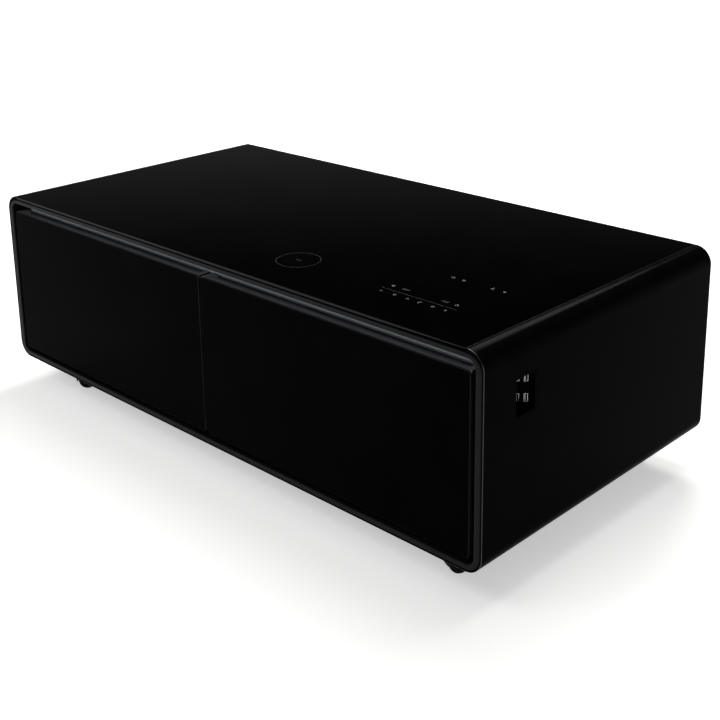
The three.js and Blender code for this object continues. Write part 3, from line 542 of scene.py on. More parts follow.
for side, _ in SIDES:
    low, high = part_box(f"{side}_drawer_glass")
    front_outline = inset_outline(low.xz, high.xz, FRONT_CORNER, 10)
    front_pane = pane(f"{side}_front_pane", "y", front_outline, low.y, high.y)
    settle(front_pane, f"{side}_drawer", BLACK_GLASS, "black_glass", f"{side}_drawer_glass")
    paint(front_pane, GROUND_EDGE, lambda face: abs(face.normal.y) < FLAT_FACE)
print("panes: top and", len(SIDES), "fronts")

# %% [markdown]
# ## Bezel
# The moulding around the opening is a little crowned: it rises from the seam beside the shell, runs over
# a flat crown and turns into the opening with a soft round, where it catches the light. A curve with a
# bevel profile could make it too, but its corners pinch. Here each step of the section is one loop around
# the whole frame, so the corners come out right by themselves.

# %% Bezel outlines

bezel_low, bezel_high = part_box("front_bezel")
RIM_RADIUS, OPENING_RADIUS = 28.6 * MM, 16 * MM
OPENING_HALF = 634 * MM
OPENING_LOW, OPENING_HIGH = shell_low.z + 12.6 * MM, shell_high.z - 15.4 * MM
RAISE, RAISE_RUN = 2.6 * MM, 3 * MM  # the rim rises between the round edges of the shell, over a short run


def along_glass(edge_z, middle_z):
    """Four points along the top, with the raised stretch behind the edge of the glass."""
    edge = glass_high.x - 2 * FIT
    rise = edge - RAISE_RUN
    return [(edge, edge_z), (rise, middle_z), (-rise, middle_z), (-edge, edge_z)]


def bezel_rim():
    """Outer outline of the bezel."""
    shoulder = bezel_high.z - RAISE
    top = along_glass(shoulder, bezel_high.z)
    return frame_outline(bezel_high.x, bezel_low.z, shoulder, RIM_RADIUS, top)


def bezel_opening(grow=0):
    """Opening outline, with as many points as the rim."""
    low, high = OPENING_LOW - grow, OPENING_HIGH + grow
    return frame_outline(OPENING_HALF + grow, low, high, OPENING_RADIUS + grow, along_glass(high, high))


# %% Bezel moulding

BEZEL_WALL, BEZEL_DEPTH = 3 * MM, 8 * MM
# The share of the way from rim to opening, and how many mm the face lies behind its crown there
CROWN = (
    (0, 1.8), (0.02, 1.1), (0.05, 0.6), (0.09, 0.28), (0.14, 0.1), (0.2, 0.02), (0.28, 0),
    (0.7, 0.03), (0.84, 0.15), (0.92, 0.45), (0.97, 1.0), (1, 1.9),
)


def between(first, second, share):
    """An outline part of the way from one to another."""
    return [(a + (c - a) * share, b + (d - b) * share) for (a, b), (c, d) in zip(first, second)]


def make_bezel():
    rim, opening, skirt = bezel_rim(), bezel_opening(), bezel_opening(BEZEL_WALL)
    wall_end = bezel_low.y + BEZEL_DEPTH
    loops = [on_axis("y", rim, wall_end)]
    loops += [on_axis("y", between(rim, opening, share), bezel_low.y + back * MM) for share, back in CROWN]
    inside = ((opening, bezel_high.y), (skirt, bezel_high.y), (skirt, wall_end))
    loops += [on_axis("y", outline, y) for outline, y in inside]
    return loft("bezel_moulding", loops, ring=True, sharp=50)


bezel = flat_normals(make_bezel())
settle(bezel, "cabinet", BEZEL_ABS, "bezel", "front_bezel")
print("bezel faces:", len(bezel.data.polygons))

# %% [markdown]
# ## Finger pulls
# Behind the top edge of each drawer front lies a trough for the fingers, one extruded section with two
# solid ends. The trough could be cut out of a bar, but its curve would then meet the ends at a hard line.
# Here the section is a row of loops along x, and near each end the trough flattens out into the block, as
# a milled scoop does. The lip in front is rounded, because a hand pulls on it.

# %% Section of a finger pull

rail_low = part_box("light_rail")[0]
LIP = 4 * MM
LIP_ROUND = ((0, 0.9), (0.3, 0.3), (1.0, 0), (2.4, 0), (3.3, 0.4), (3.8, 1.4))  # mm back, mm down
LEDGE_DROP, FLOOR_DROP = 6.4 * MM, 11.1 * MM  # the ledge and the floor of the trough lie below the lip
TROUGH_END = 25 * MM


def curve(start, first, second, end, steps=12):
    """Points on a curve that leaves its start towards one handle and reaches its end from the other."""
    points = []
    for i in range(steps + 1):
        t = i / steps
        s = 1 - t
        point = start * s**3 + first * 3 * t * s**2 + second * 3 * t**2 * s + end * t**3
        points.append((point.x, point.y))
    return points


def pull_section(low, high, scoop):
    """(y, z) section from the lower front corner round the trough. scoop 0 is the block, 1 the trough."""
    front, back = low.y, high.y
    step_y = rail_low.y - 2 * FIT
    ledge, floor = high.z - LEDGE_DROP, high.z - FLOOR_DROP
    trough = [(front, low.z)] + [(front + y * MM, high.z - z * MM) for y, z in LIP_ROUND]
    trough += curve(
        Vector((front + LIP, floor + 6 * MM)),
        Vector((front + LIP + 0.4 * MM, floor - 1.6 * MM)),
        Vector((front + 14 * MM, ledge - 4.4 * MM)),
        Vector((front + TROUGH_END, ledge)),
    )
    seat = ledge - 0.1 * MM
    trough += [(step_y, ledge), (step_y + 0.2 * MM, seat), (back, seat), (back, low.z)]
    block = []
    for y, z in trough:
        above = front + 1.5 * MM < y <= step_y and z > low.z + 1 * MM
        block.append((y, high.z) if above else (y, z))
    return between(block, trough, scoop)


# %% Finger pulls

BLOCK, RUNOUT = 14 * MM, 7 * MM  # length of the solid end, and of the stretch where the trough runs out
RUNOUT_STEPS = 8


def make_pull(side):
    low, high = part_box(f"{side}_drawer_handle")
    stations = [(0.0, 0.0)]
    for i in range(RUNOUT_STEPS + 1):
        share = i / RUNOUT_STEPS
        stations.append((BLOCK + RUNOUT * (share - 0.5), share * share * (3 - 2 * share)))
    loops = [on_axis("x", pull_section(low, high, scoop), low.x + d) for d, scoop in stations]
    loops += [on_axis("x", pull_section(low, high, scoop), high.x - d) for d, scoop in reversed(stations)]
    return loft(f"{side}_finger_pull", loops, sharp=40)


for side, _ in SIDES:
    pull = make_pull(side)
    settle(pull, f"{side}_drawer", ANODISED_GREY, "handle_metal", f"{side}_drawer_handle")
    paint(pull, BLACK_ABS, lambda face: abs(face.normal.x) > FLAT_FACE)
print("finger pulls:", len(SIDES))

# %% [markdown]
# ## Light strip
# The diffuser is an acrylic bar in a pocket of the rail. Its face is slightly domed, and shallow grooves
# along it break up the light of the diodes behind. It is extruded in the factory, so here one section is
# drawn along x. A bump could fake the grooves, but their real depth also shades the bar from above.

# %% Light strip

strip_low, strip_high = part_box("light_strip")
GROOVES, GROOVE_STEPS = 5, 4
GROOVE_DEPTH, DOME = 0.35 * MM, 0.5 * MM


def make_strip():
    count = GROOVES * GROOVE_STEPS
    pitch = (strip_high.z - strip_low.z) / count
    face = []
    for i in range(count + 1):
        dome = DOME * (2 * i / count - 1) ** 2
        groove = GROOVE_DEPTH * (1 - math.cos(2 * math.pi * i / GROOVE_STEPS)) / 2
        face.append((strip_low.y + dome + groove, strip_low.z + i * pitch))
    outline = [(strip_high.y, strip_low.z)] + face + [(strip_high.y, strip_high.z)]
    loops = [on_axis("x", outline, strip_low.x), on_axis("x", outline, strip_high.x)]
    return loft("light_diffuser", loops, sharp=50)


settle(make_strip(), "cabinet", FROSTED_ACRYLIC, "diffuser", "light_strip")
print("grooves in the light strip:", GROOVES)

# %% [markdown]
# ## Tubs, liners and seals
# Tubs and liners are vacuum formed, so no inner corner is sharp: the loops turn a generous round into
# every floor. The rim of the tub is folded over. The seal is a hollow bellows with a foot, and its round
# nose meets the face frame. A box with a solidify modifier would give the walls, but not the fold and the
# bellows, which are easy to draw as loops that go once round the drawer.

# %% Tubs

TUB_WALL, TUB_RIM = 3 * MM, 7 * MM
TUB_CORNER, FLOOR_ROUND = 18 * MM, 12 * MM
# The folded rim, from outside to inside: mm below the top, and mm outside the wall
RIM_FOLD = ((7, 0), (7, 5), (7, 7), (1.5, 7), (0.4, 6.6), (0, 5.5), (0, -1.5), (0.4, -2.6), (1.5, -3))


def make_tub(side):
    low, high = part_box(f"{side}_drawer_tub")

    def at(z, grow):
        front = low.y - min(grow, 0)
        x0, x1 = low.x + TUB_RIM - grow, high.x - TUB_RIM + grow
        return on_axis("z", rounded_rect(x0, front, x1, high.y - TUB_RIM + grow, TUB_CORNER + grow, 8), z)

    steps = edge_steps(FLOOR_ROUND)
    outside = [at(low.z + back, -inset) for inset, back in steps]
    rim = [at(high.z - drop * MM, grow * MM) for drop, grow in RIM_FOLD]
    inside = [at(low.z + TUB_WALL + back, -TUB_WALL - inset) for inset, back in steps[::-1]]
    return flat_normals(loft(f"{side}_tub_moulding", outside + rim + inside, sharp=50))


# %% Liners

LINER_WALL, FLANGE, FLANGE_SHEET = 2 * MM, 8 * MM, 1.2 * MM
LINER_CORNER, LINER_ROUND, MOUTH_ROUND = 10 * MM, 8 * MM, 0.4 * MM


def make_liner(side):
    low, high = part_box(f"{side}_liner")
    flange_back = low.y + FLANGE_SHEET

    def at(y, grow):
        x0, z0 = low.x + FLANGE - grow, low.z + FLANGE - grow
        x1, z1 = high.x - FLANGE + grow, high.z - FLANGE + grow
        return on_axis("y", rounded_rect(x0, z0, x1, z1, LINER_CORNER + grow, 6), y)

    outside = [at(high.y, LINER_WALL - LINER_ROUND), at(high.y, LINER_WALL)]
    outside += [at(flange_back, LINER_WALL), at(flange_back, FLANGE)]
    mouth = [at(low.y, FLANGE), at(low.y, FLANGE_SHEET)]
    mouth += [at(low.y + MOUTH_ROUND, MOUTH_ROUND), at(flange_back, 0)]
    inside = [at(high.y - LINER_WALL - back, -inset) for inset, back in edge_steps(LINER_ROUND)[::-1]]
    return flat_normals(loft(f"{side}_liner_moulding", outside + mouth + inside, sharp=50))


for side, _ in SIDES:
    settle(make_tub(side), f"{side}_drawer", WHITE_POLYSTYRENE, "liner", f"{side}_drawer_tub")
    settle(make_liner(side), "cabinet", WHITE_POLYSTYRENE, "liner", f"{side}_liner")

# %% Seals

SEAL_FOOT, SEAL_CORNER = 8 * MM, 14 * MM
# Half of the bellows, as shares of its width and height
SEAL_HALF = [(0, 0), (0, 0.25), (0.08, 0.42), (0.16, 0.45), (0.2, 0.7), (0.32, 0.93), (0.5, 1)]


def make_seal(side):
    low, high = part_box(f"{side}_drawer_gasket")
    outline = inset_outline(low.xz, high.xz, SEAL_CORNER, 8)
    section = SEAL_HALF + [(1 - share, up) for share, up in SEAL_HALF[-2::-1]]
    depth = high.y - low.y
    loops = [on_axis("y", outline(SEAL_FOOT * share), low.y + depth * up) for share, up in section]
    return loft(f"{side}_seal", loops, ring=True, sharp=60)


for side, _ in SIDES:
    settle(make_seal(side), f"{side}_drawer", SEAL_PVC, "seal", f"{side}_drawer_gasket")
print("tubs, liners and seals:", 3 * len(SIDES))

# %% [markdown]
# ## Sockets in the side bay
# Four USB receptacles stand on a plate turned 45 degrees towards the front. A receptacle is a folded
# shell of nickel plated steel with a pale tongue, and four gold contacts lie on the tongue. They are so
# small that plain bars do for tongue and contacts, while the shell gets a flared mouth, which catches the
# light. They are built in the plate's own directions: out of the plate, along it and up.

# %% Place of the sockets

PLATE_RUN = 16 * MM
BAY_DEPTH, BAY_WIDTH, BAY_WALL = 28 * MM, 48 * MM, 1.2 * MM
COLUMNS, ROWS = (-6.8 * MM, 6.8 * MM), (-16.8 * MM, 16.8 * MM)

bay_middle = (bay_low + bay_high) / 2
plate_x = shell_high.x - BAY_DEPTH + PLATE_RUN / 2
plate_y = bay_middle.y + (BAY_WIDTH - PLATE_RUN) / 2
plate_turn = Matrix.Translation((plate_x, plate_y, bay_middle.z)) @ Matrix.Rotation(-math.pi / 4, 4, "Z")


def on_plate(bm, along, up):
    bm.transform(plate_turn @ Matrix.Translation((0, along, up)))


# %% Pieces of a socket

USB_WIDTH, USB_HEIGHT, USB_SHEET = 5.6 * MM, 13.2 * MM, 0.35 * MM
ROUND_OUT, ROUND_IN = 1.1 * MM, 0.6 * MM
FLARE, FLARE_RUN = 0.15 * MM, 0.5 * MM
CONTACT_ROWS = (-3.5, -1.2, 1.2, 3.5)
HOUSING = (9, 10.5, 28)  # mm deep, and half its width and height


def add_folded_shell(bm, back, front):
    """A folded rectangular tube along x with rounded corners and a flared mouth."""

    def at(grow, radius, x):
        half_y, half_z = USB_WIDTH / 2 + grow, USB_HEIGHT / 2 + grow
        return on_axis("x", rounded_rect(-half_y, -half_z, half_y, half_z, radius, 4), x)

    outside = [at(0, ROUND_OUT, back), at(0, ROUND_OUT, front - FLARE_RUN), at(FLARE, ROUND_OUT, front)]
    inside = [at(FLARE - USB_SHEET, ROUND_IN, front)]
    inside += [at(-USB_SHEET, ROUND_IN, x) for x in (front - FLARE_RUN, back)]
    add_loft(bm, outside + inside, ring=True)


def add_bar(bm, low, high):
    """A plain bar between two corners, in mm."""
    (x0, y0, z0), (x1, y1, z1) = ([value * MM for value in corner] for corner in (low, high))
    outline = [(y0, z0), (y1, z0), (y1, z1), (y0, z1)]
    add_loft(bm, [on_axis("x", outline, x) for x in (x0, x1)])


# %% Sockets


def make_sockets():
    """The shells, the tongues and the contacts of all sockets."""
    shells, tongues, contacts = [], [], []
    for along in COLUMNS:
        for up in ROWS:
            folded, tongue, gold = bmesh.new(), bmesh.new(), bmesh.new()
            add_folded_shell(folded, -2 * MM, -0.6 * MM)
            add_bar(tongue, (-8, -1.9, -5.4), (-1.6, -0.1, 5.4))
            for row in CONTACT_ROWS:
                add_bar(gold, (-7, -0.2, row - 0.5), (-2.2, 0.05, row + 0.5))
            for bm, group in ((folded, shells), (tongue, tongues), (gold, contacts)):
                on_plate(bm, along, up)
                group.append(bm)
    return shells, tongues, contacts


def make_housing():
    """The block behind the slanted plate. Cut at 45 degrees, the wall of the bay is sqrt(2) times as thick."""
    housing = bmesh.new()
    face = -(BAY_WALL * math.sqrt(2) + FIT) / MM
    deep, half_width, half_height = HOUSING
    add_bar(housing, (face - deep, -half_width, -half_height), (face, half_width, half_height))
    on_plate(housing, 0, 0)
    return housing


def merge(name, parts):
    whole = bmesh.new()
    for bm in parts:
        mesh = bpy.data.meshes.new("part")
        bm.to_mesh(mesh)
        bm.free()
        whole.from_mesh(mesh)
        bpy.data.meshes.remove(mesh)
    return finish_mesh(name, whole)


shells, tongues, contacts = make_sockets()
settle(merge("usb_shells", shells), "cabinet", NICKEL_STEEL, "zinc_steel", "usb_sockets")
settle(merge("usb_tongues", tongues), "cabinet", TONGUE_LCP, "black_plastic", "usb_sockets")
settle(merge("usb_contacts", contacts), "cabinet", GOLD_CONTACT, "zinc_steel", "usb_sockets")
settle(merge("usb_housing", [make_housing()]), "cabinet", BAY_ABS, "black_plastic", "usb_sockets")
print("sockets:", len(COLUMNS) * len(ROWS))

# %% [markdown]
# ## Printing on the glass
# The charging circle and the touch signs are printed in grey ink on the glass. A picture could carry them,
# but it would blur close up. So they are thin raised marks of a fiftieth of a millimetre: a line is a band
# of quads along points, and every sign is made of lines and dots. The signs are plain ones, such as any
# appliance has.

# %% Printing helpers

INK = 0.02 * MM
FINE, LINE, BOLD = 0.35 * MM, 0.6 * MM, 1.1 * MM
SIGN = 1.12 * MM  # one unit of a sign's drawing
ARM = 2.4  # half the size of a sign, in such units


def add_band(bm, points, width=LINE, closed=False):
    """A printed line of even width through points (x, y) in metres."""
    last = len(points) - 1
    loops = []
    for i, point in enumerate(points):
        before = points[i - 1] if closed or i > 0 else point
        after = points[(i + 1) % len(points)] if closed or i < last else point
        direction = (Vector(after) - Vector(before)).normalized()
        across = Vector((-direction.y, direction.x)) * width / 2
        left, right = Vector(point) + across, Vector(point) - across
        corners = ((left, 0), (right, 0), (right, INK), (left, INK))
        loops.append([(side.x, side.y, glass_high.z + height) for side, height in corners])
    add_loft(bm, loops, ring=closed)


def add_dot(bm, x, y, radius):
    outline = arc(x, y, radius, 0, 360, 16)[:-1]
    add_loft(bm, [on_axis("z", outline, z) for z in (glass_high.z, glass_high.z + INK)])


def shifted(x, y, points):
    return [(x + px * SIGN, y + py * SIGN) for px, py in points]


# %% Signs


def sign(lines=(), rings=(), dots=(), width=LINE):
    """Returns the function that draws a sign of lines, closed rings and dots (x, y, radius), in its units."""

    def draw(bm, x, y):
        for points in lines:
            add_band(bm, shifted(x, y, points), width)
        for points in rings:
            add_band(bm, shifted(x, y, points), width, closed=True)
        for dot_x, dot_y, radius in dots:
            add_dot(bm, x + dot_x * SIGN, y + dot_y * SIGN, radius * SIGN)

    return draw


def spoke(degrees, start, end):
    """A line on a ray from the middle of a sign."""
    a = math.radians(degrees)
    return [(reach * math.cos(a), reach * math.sin(a)) for reach in (start, end)]


BAR, MAST = [(-ARM, 0), (ARM, 0)], [(0, -ARM), (0, ARM)]
POWER = sign([arc(0, 0, 2.6, 120, 420, 16), [(0, 0.6), (0, 3.4)]])
LAMP = sign([spoke(45 * i, 2.3, 3.3) for i in range(8)], dots=[(0, 0, 1.1)])
FROST = sign([spoke(60 * i + 30, -3, 3) for i in range(3)])
PLUS = sign([BAR, MAST])
MINUS = sign([BAR], width=BOLD)
PLAY = sign(rings=[[(-1.6, -ARM), (ARM, 0), (-1.6, ARM)]])
LOCK = sign([arc(0, 0.6, 1.5, 0, 180, 8)], [[(-2.2, -2.6), (2.2, -2.6), (2.2, 0.4), (-2.2, 0.4)]])
DROP = sign([[(-1.9, 0.4), (0, 3.2), (1.9, 0.4)], arc(0, -0.6, 2.1, -210, 30, 12)])
ARROW = sign([[(1.6, -ARM), (-1.6, 0), (1.6, ARM)]], dots=[(2.8, 0, 0.6)], width=BOLD)
WAVE = sign([arc(0, -2.2, radius, 45, 135, 8) for radius in (1.4, 2.6, 3.8)], dots=[(0, -2.2, 0.6)])
NOTE = sign([[(-0.4, -1.8), (-0.4, 2.8), (2.2, 2.0)]], dots=[(-1.2, -1.8, 1.1)])
CLOCK = sign(rings=[arc(0, 0, 2.2, 0, 360, 24)[:-1]], dots=[(0, 0, 0.6)])

# Three seven-bar figure eights, as on any digital display
EIGHT = [[(x, -ARM), (x, ARM)] for x in (-ARM / 2, ARM / 2)]
EIGHT += [[(-ARM / 2, y), (ARM / 2, y)] for y in (-ARM, 0, ARM)]
DIGIT_PLACES = (-4.5, 0, 4.5)
FIGURES = sign([[(x + place, y) for x, y in bar] for place in DIGIT_PLACES for bar in EIGHT], width=FINE)

# %% Printing

LOWER_Y, SLIDER_Y, MIDDLE_Y, UPPER_Y = (shell_low.y + y * MM for y in (96, 109, 126, 224))
LOWER_SIGNS = ((358.5, MINUS), (388, ARROW), (417, PLAY), (443, NOTE), (470.6, CLOCK), (496.4, PLUS))
MIDDLE_SIGNS = ((358.5, FROST), (495.5, LOCK))
UPPER_SIGNS = ((406, POWER), (429, LAMP), (490, DROP), (514, WAVE))
SLIDER_ENDS, FIGURES_X = (349, 508), (387, 470.6)
CHARGING_RADIUS = 40 * MM
BOLT_LEFT, WAVES_RIGHT = 3.5 * MM, 2.4 * MM
BOLT = ((0.4, 2.6), (-1.6, -0.4), (-0.1, -0.4), (-0.4, -2.6), (1.6, 0.4), (0.1, 0.4))


def make_signs():
    bm = bmesh.new()
    for row_y, signs in ((LOWER_Y, LOWER_SIGNS), (MIDDLE_Y, MIDDLE_SIGNS), (UPPER_Y, UPPER_SIGNS)):
        for x, draw in signs:
            draw(bm, x * MM, row_y)
    return finish_mesh("touch_signs", bm)


def make_slider_and_figures():
    bm = bmesh.new()
    add_band(bm, [(x * MM, SLIDER_Y) for x in SLIDER_ENDS], FINE)
    for x in FIGURES_X:
        FIGURES(bm, x * MM, MIDDLE_Y)
    return finish_mesh("slider_and_figures", bm)


def make_charging_mark():
    """The circle over the coil, with a small bolt and two waves in its middle."""
    bm = bmesh.new()
    x, y = coil_middle.x, coil_middle.y
    add_band(bm, arc(x, y, CHARGING_RADIUS, 0, 360, 96)[:-1], FINE, closed=True)
    add_band(bm, shifted(x - BOLT_LEFT, y, BOLT), closed=True)
    for radius in (1.4, 2.8):
        add_band(bm, arc(x + WAVES_RIGHT, y, radius * MM, -50, 50, 8))
    return finish_mesh("charging_mark", bm)


settle(make_signs(), "cabinet", SCREEN_INK, "diffuser")
settle(make_slider_and_figures(), "cabinet", FINE_INK, "diffuser")
settle(make_charging_mark(), "cabinet", FINE_INK, "diffuser")
print("printed signs:", len(LOWER_SIGNS) + len(MIDDLE_SIGNS) + len(UPPER_SIGNS))

# %% [markdown]
# ## Casters
# Each caster has two moulded wheels on one axle, with a soft tread, a recessed face and a hub cap, under a
# hood that guards both. From afar a cylinder would do for a wheel. Here it is turned as on a lathe: one
# half section is spun around the axle, so recess, hub cap and tread come from one short row of points.

# %% Turning


def spin(bm, profile, place, steps):
    """Turns (radius, along) pairs around an axis. place makes a point of two sides and the way along."""
    angles = [2 * math.pi * i / steps for i in range(steps)]
    rings = []
    for radius, along in profile:
        around = angles if radius else angles[:1]
        points = [place(radius * math.cos(a), radius * math.sin(a), along) for a in around]
        rings.append([bm.verts.new(point) for point in points])
    for first, second in zip(rings, rings[1:]):
        for i in range(steps):
            j = (i + 1) % steps
            corners = ((first, i), (first, j), (second, j), (second, i))
            bm.faces.new(list(dict.fromkeys(ring[k % len(ring)] for ring, k in corners)))


# %% Caster wheels

CASTER_X, CASTER_Y = 530 * MM, 263 * MM
CASTER_TURN = math.radians(-25)
WHEEL_RADIUS, WHEEL_TRAIL = 20 * MM, 17 * MM
# Half sections in mm: radius, and how far along the axle
WHEEL_CORE = (
    (0, 4.6), (13.2, 4.6), (14.6, 5.0), (15.4, 15.0), (14.6, 15.8), (12.5, 15.6),
    (12.0, 14.2), (6.6, 13.9), (6.0, 15.6), (3.4, 16.6), (0, 16.8),
)
TREAD = (
    (14.4, 4.3), (18.6, 4.3), (19.6, 5.0), (20.0, 6.4), (20.0, 13.4),
    (19.6, 15.4), (18.4, 16.6), (16.2, 16.9), (14.9, 16.2),
)
AXLE = ((0, -5), (3, -5), (3, 5), (0, 5))
CASTERS = [
    (f"{end}_{side}", sign * CASTER_X, row * CASTER_Y)
    for end, row in (("front", -1), ("rear", 1))
    for side, sign in SIDES
]


def beside_axle(a, b, along):
    return (along * MM, a * MM, b * MM)


def tread_loop(radius, along):
    return on_axis("x", arc(0, 0, radius * MM, 0, 360, 64)[:-1], along * MM)


def make_wheels(name, x, y):
    core, tread = bmesh.new(), bmesh.new()
    for side in (-1, 1):
        spin(core, [(radius, side * along) for radius, along in WHEEL_CORE], beside_axle, 48)
        add_loft(tread, [tread_loop(radius, side * along) for radius, along in TREAD], ring=True)
    spin(core, AXLE, beside_axle, 24)
    swivel = Matrix.Translation((x, y, 0)) @ Matrix.Rotation(CASTER_TURN, 4, "Z")
    for bm in (core, tread):
        bm.transform(swivel @ Matrix.Translation((0, WHEEL_TRAIL, WHEEL_RADIUS)))
    return finish_mesh(f"{name}_wheel_cores", core, 40), finish_mesh(f"{name}_treads", tread, 50)


for name, x, y in CASTERS:
    cores, treads = make_wheels(name, x, y)
    settle(cores, f"{name}_wheels", CASTER_NYLON, "wheel_tread", f"{name}_caster_wheels")
    settle(treads, f"{name}_wheels", TREAD_RUBBER, "wheel_tread", f"{name}_caster_wheels")
print("casters:", len(CASTERS))

# %% [markdown]
# ## Pieces kept from the CAD model
# The other nodes have the right shape already, so nothing is gained by building them again. They come in
# as bare triangles, and a stack of modifiers makes them ready: weld the corners, smooth what turns gently,
# break the edges by a real radius, and weight the normals so that flat faces stay flat.

# %% Modifiers for CAD nodes

SMOOTH_BELOW, BREAK_ABOVE = math.radians(30), math.radians(32)
EDGE_SEGMENTS = 2


def smoothing_group():
    """Smooth faces, with steeper edges kept sharp, and no stored normals."""
    group = bpy.data.node_groups.new("smooth_below_30_degrees", "GeometryNodeTree")
    for way in ("INPUT", "OUTPUT"):
        group.interface.new_socket("Geometry", in_out=way, socket_type="NodeSocketGeometry")
    start = add_node(group, "NodeGroupInput")
    inputs = {"Geometry": start.outputs[0], "Name": "custom_normal"}
    bare = add_node(group, "GeometryNodeRemoveAttribute", inputs)
    inputs = {"Geometry": bare.outputs[0], "Shade Smooth": True}
    smooth = add_node(group, "GeometryNodeSetShadeSmooth", inputs)
    angle = add_node(group, "GeometryNodeInputMeshEdgeAngle")
    inputs = {"A": angle.outputs["Unsigned Angle"], "B": SMOOTH_BELOW}
    steep = add_node(group, "FunctionNodeCompare", inputs, data_type="FLOAT", operation="GREATER_THAN")
    inputs = {"Geometry": smooth.outputs[0], "Selection": steep.outputs[0], "Shade Smooth": False}
    creased = add_node(group, "GeometryNodeSetShadeSmooth", inputs, domain="EDGE")
    add_node(group, "NodeGroupOutput", {0: creased.outputs[0]})
    return group


SMOOTHING = smoothing_group()


def dress(node, finish, edge_mm):
    """Gives a CAD node its material and soft edges."""
    piece = NODES[node]
    piece.data.materials.clear()
    piece.data.materials.append(finish)
    for polygon in piece.data.polygons:
        polygon.material_index = 0
    weld = piece.modifiers.new("weld_corners", "WELD")
    weld.merge_threshold = 1e-6
    smooth = piece.modifiers.new("smooth", "NODES")
    smooth.node_group = SMOOTHING
    if edge_mm:
        edge = piece.modifiers.new("broken_edges", "BEVEL")
        edge.width = edge_mm * MM
        edge.segments = EDGE_SEGMENTS
        edge.limit_method = "ANGLE"
        edge.angle_limit = BREAK_ABOVE
    flat_normals(piece)


# %% Dress the CAD nodes

DRESSED = {
    "face_frame": (SHELL_LACQUER, 0.3),
    "light_rail": (ANODISED_DARK, 0.4),
    "foam_body": (POLYURETHANE_FOAM, 0),
    "evaporator_plate": (MILL_ALUMINIUM, 0.3),
    "touch_board": (SOLDER_MASK, 0.2),
    "charger_coil": (BLACK_ABS, 0.3),
    "socket_bezel": (BAY_ABS, 0.35),
    "base_tray": (ZINC_STEEL, 0.4),
    "compressor": (COMPRESSOR_ENAMEL, 1.0),
    "condenser": (MILL_ALUMINIUM, 0.2),
    "fan_shroud": (BLACK_ABS, 0.6),
    "fan_rotor": (BLACK_ABS, 0.5),
    "control_board": (SOLDER_MASK, 0.3),
    "suction_pipe": (COPPER_TUBE, 0),
    "discharge_pipe": (COPPER_TUBE, 0),
    "back_cover": (BACK_ABS, 0.5),
    "mains_inlet": (BLACK_ABS, 0.4),
}
for side, _ in SIDES:
    DRESSED[f"{side}_drawer_casing"] = (BLACK_ABS, 0.5)
    DRESSED[f"{side}_drawer_inner_panel"] = (WHITE_POLYSTYRENE, 0.6)
    for end in "ab":
        for channel in ("inner", "middle", "outer"):
            DRESSED[f"{side}_runner_{channel}_{end}"] = (ZINC_STEEL, 0.3)
for name, _, _ in CASTERS:
    DRESSED[f"{name}_caster_plate"] = (ZINC_STEEL, 0.3)
    DRESSED[f"{name}_caster_hood"] = (CASTER_NYLON, 0.5)

for node, (finish, edge_mm) in DRESSED.items():
    dress(node, finish, edge_mm)
print("dressed nodes:", len(DRESSED))

# %% [markdown]
# ## Studio
# A pale floor that turns up into a low wall far away, like a photographer's cove. What the camera and
# mirrors see of it is lifted to white by a little emission that grows with distance, so the background is
# white while the shadow beside the table stays. More lamps could whiten it too, but they would also lift
# the black. Above the wall the room is dark up to a wide scrim of light overhead: that is why the black
# glass stays black in the photograph.

# %% Floor

FLOOR_RADIUS, WALL_HEIGHT, WALL_ROUND = 30.0, 6.0, 3.0
FLOOR_RINGS = (0.0, 4.0, 12.0)
NEAR, FAR = 1.0, 3.4  # metres from the middle of the table
NEAR_LIFT, FAR_LIFT = 0.5, 1.0


def make_floor():
    bm = bmesh.new()
    profile = [(radius, 0.0) for radius in FLOOR_RINGS]
    profile += arc(FLOOR_RADIUS - WALL_ROUND, WALL_ROUND, WALL_ROUND, -90, 0, 10)
    profile.append((FLOOR_RADIUS, WALL_HEIGHT))
    spin(bm, profile, lambda a, b, height: (a, b, height), 72)
    return finish_mesh("studio_cove", bm, 60)


def cove_paper():
    paper, tree, shader = material("matt_white_paper", "#ececea", 0.9, **{"Specular IOR Level": 0.0})
    place = add_node(tree, "ShaderNodeTexCoord")
    distance = add_node(tree, "ShaderNodeVectorMath", {0: place.outputs["Object"]}, operation="LENGTH")
    inputs = {"Value": distance.outputs["Value"], "From Min": NEAR, "From Max": FAR}
    inputs |= {"To Min": NEAR_LIFT, "To Max": FAR_LIFT}
    lift = add_node(tree, "ShaderNodeMapRange", inputs, interpolation_type="SMOOTHSTEP")
    rays = add_node(tree, "ShaderNodeLightPath")
    inputs = {0: rays.outputs["Is Glossy Ray"], 1: rays.outputs["Is Transmission Ray"]}
    mirrored = add_node(tree, "ShaderNodeMath", inputs, operation="MAXIMUM")
    inputs = {0: rays.outputs["Is Camera Ray"], 1: mirrored.outputs[0]}
    seen = add_node(tree, "ShaderNodeMath", inputs, operation="MAXIMUM")
    inputs = {0: lift.outputs["Result"], 1: seen.outputs[0]}
    strength = add_node(tree, "ShaderNodeMath", inputs, operation="MULTIPLY")
    shader.inputs["Emission Color"].default_value = (1, 1, 1, 1)
    tree.links.new(strength.outputs[0], shader.inputs["Emission Strength"])
    return paper


floor = make_floor()
floor.data.materials.append(cove_paper())
print("floor radius:", FLOOR_RADIUS, "m")

# %% World

WALL_LEVEL, SCRIM_LEVEL, SPILL_LEVEL = 0.03, 0.55, 0.35
# Each band fades between two heights in degrees, from one level to another: the scrim, and light spilled low
BANDS = ((38, 62, WALL_LEVEL, SCRIM_LEVEL), (10, 21, SPILL_LEVEL, 0.0))


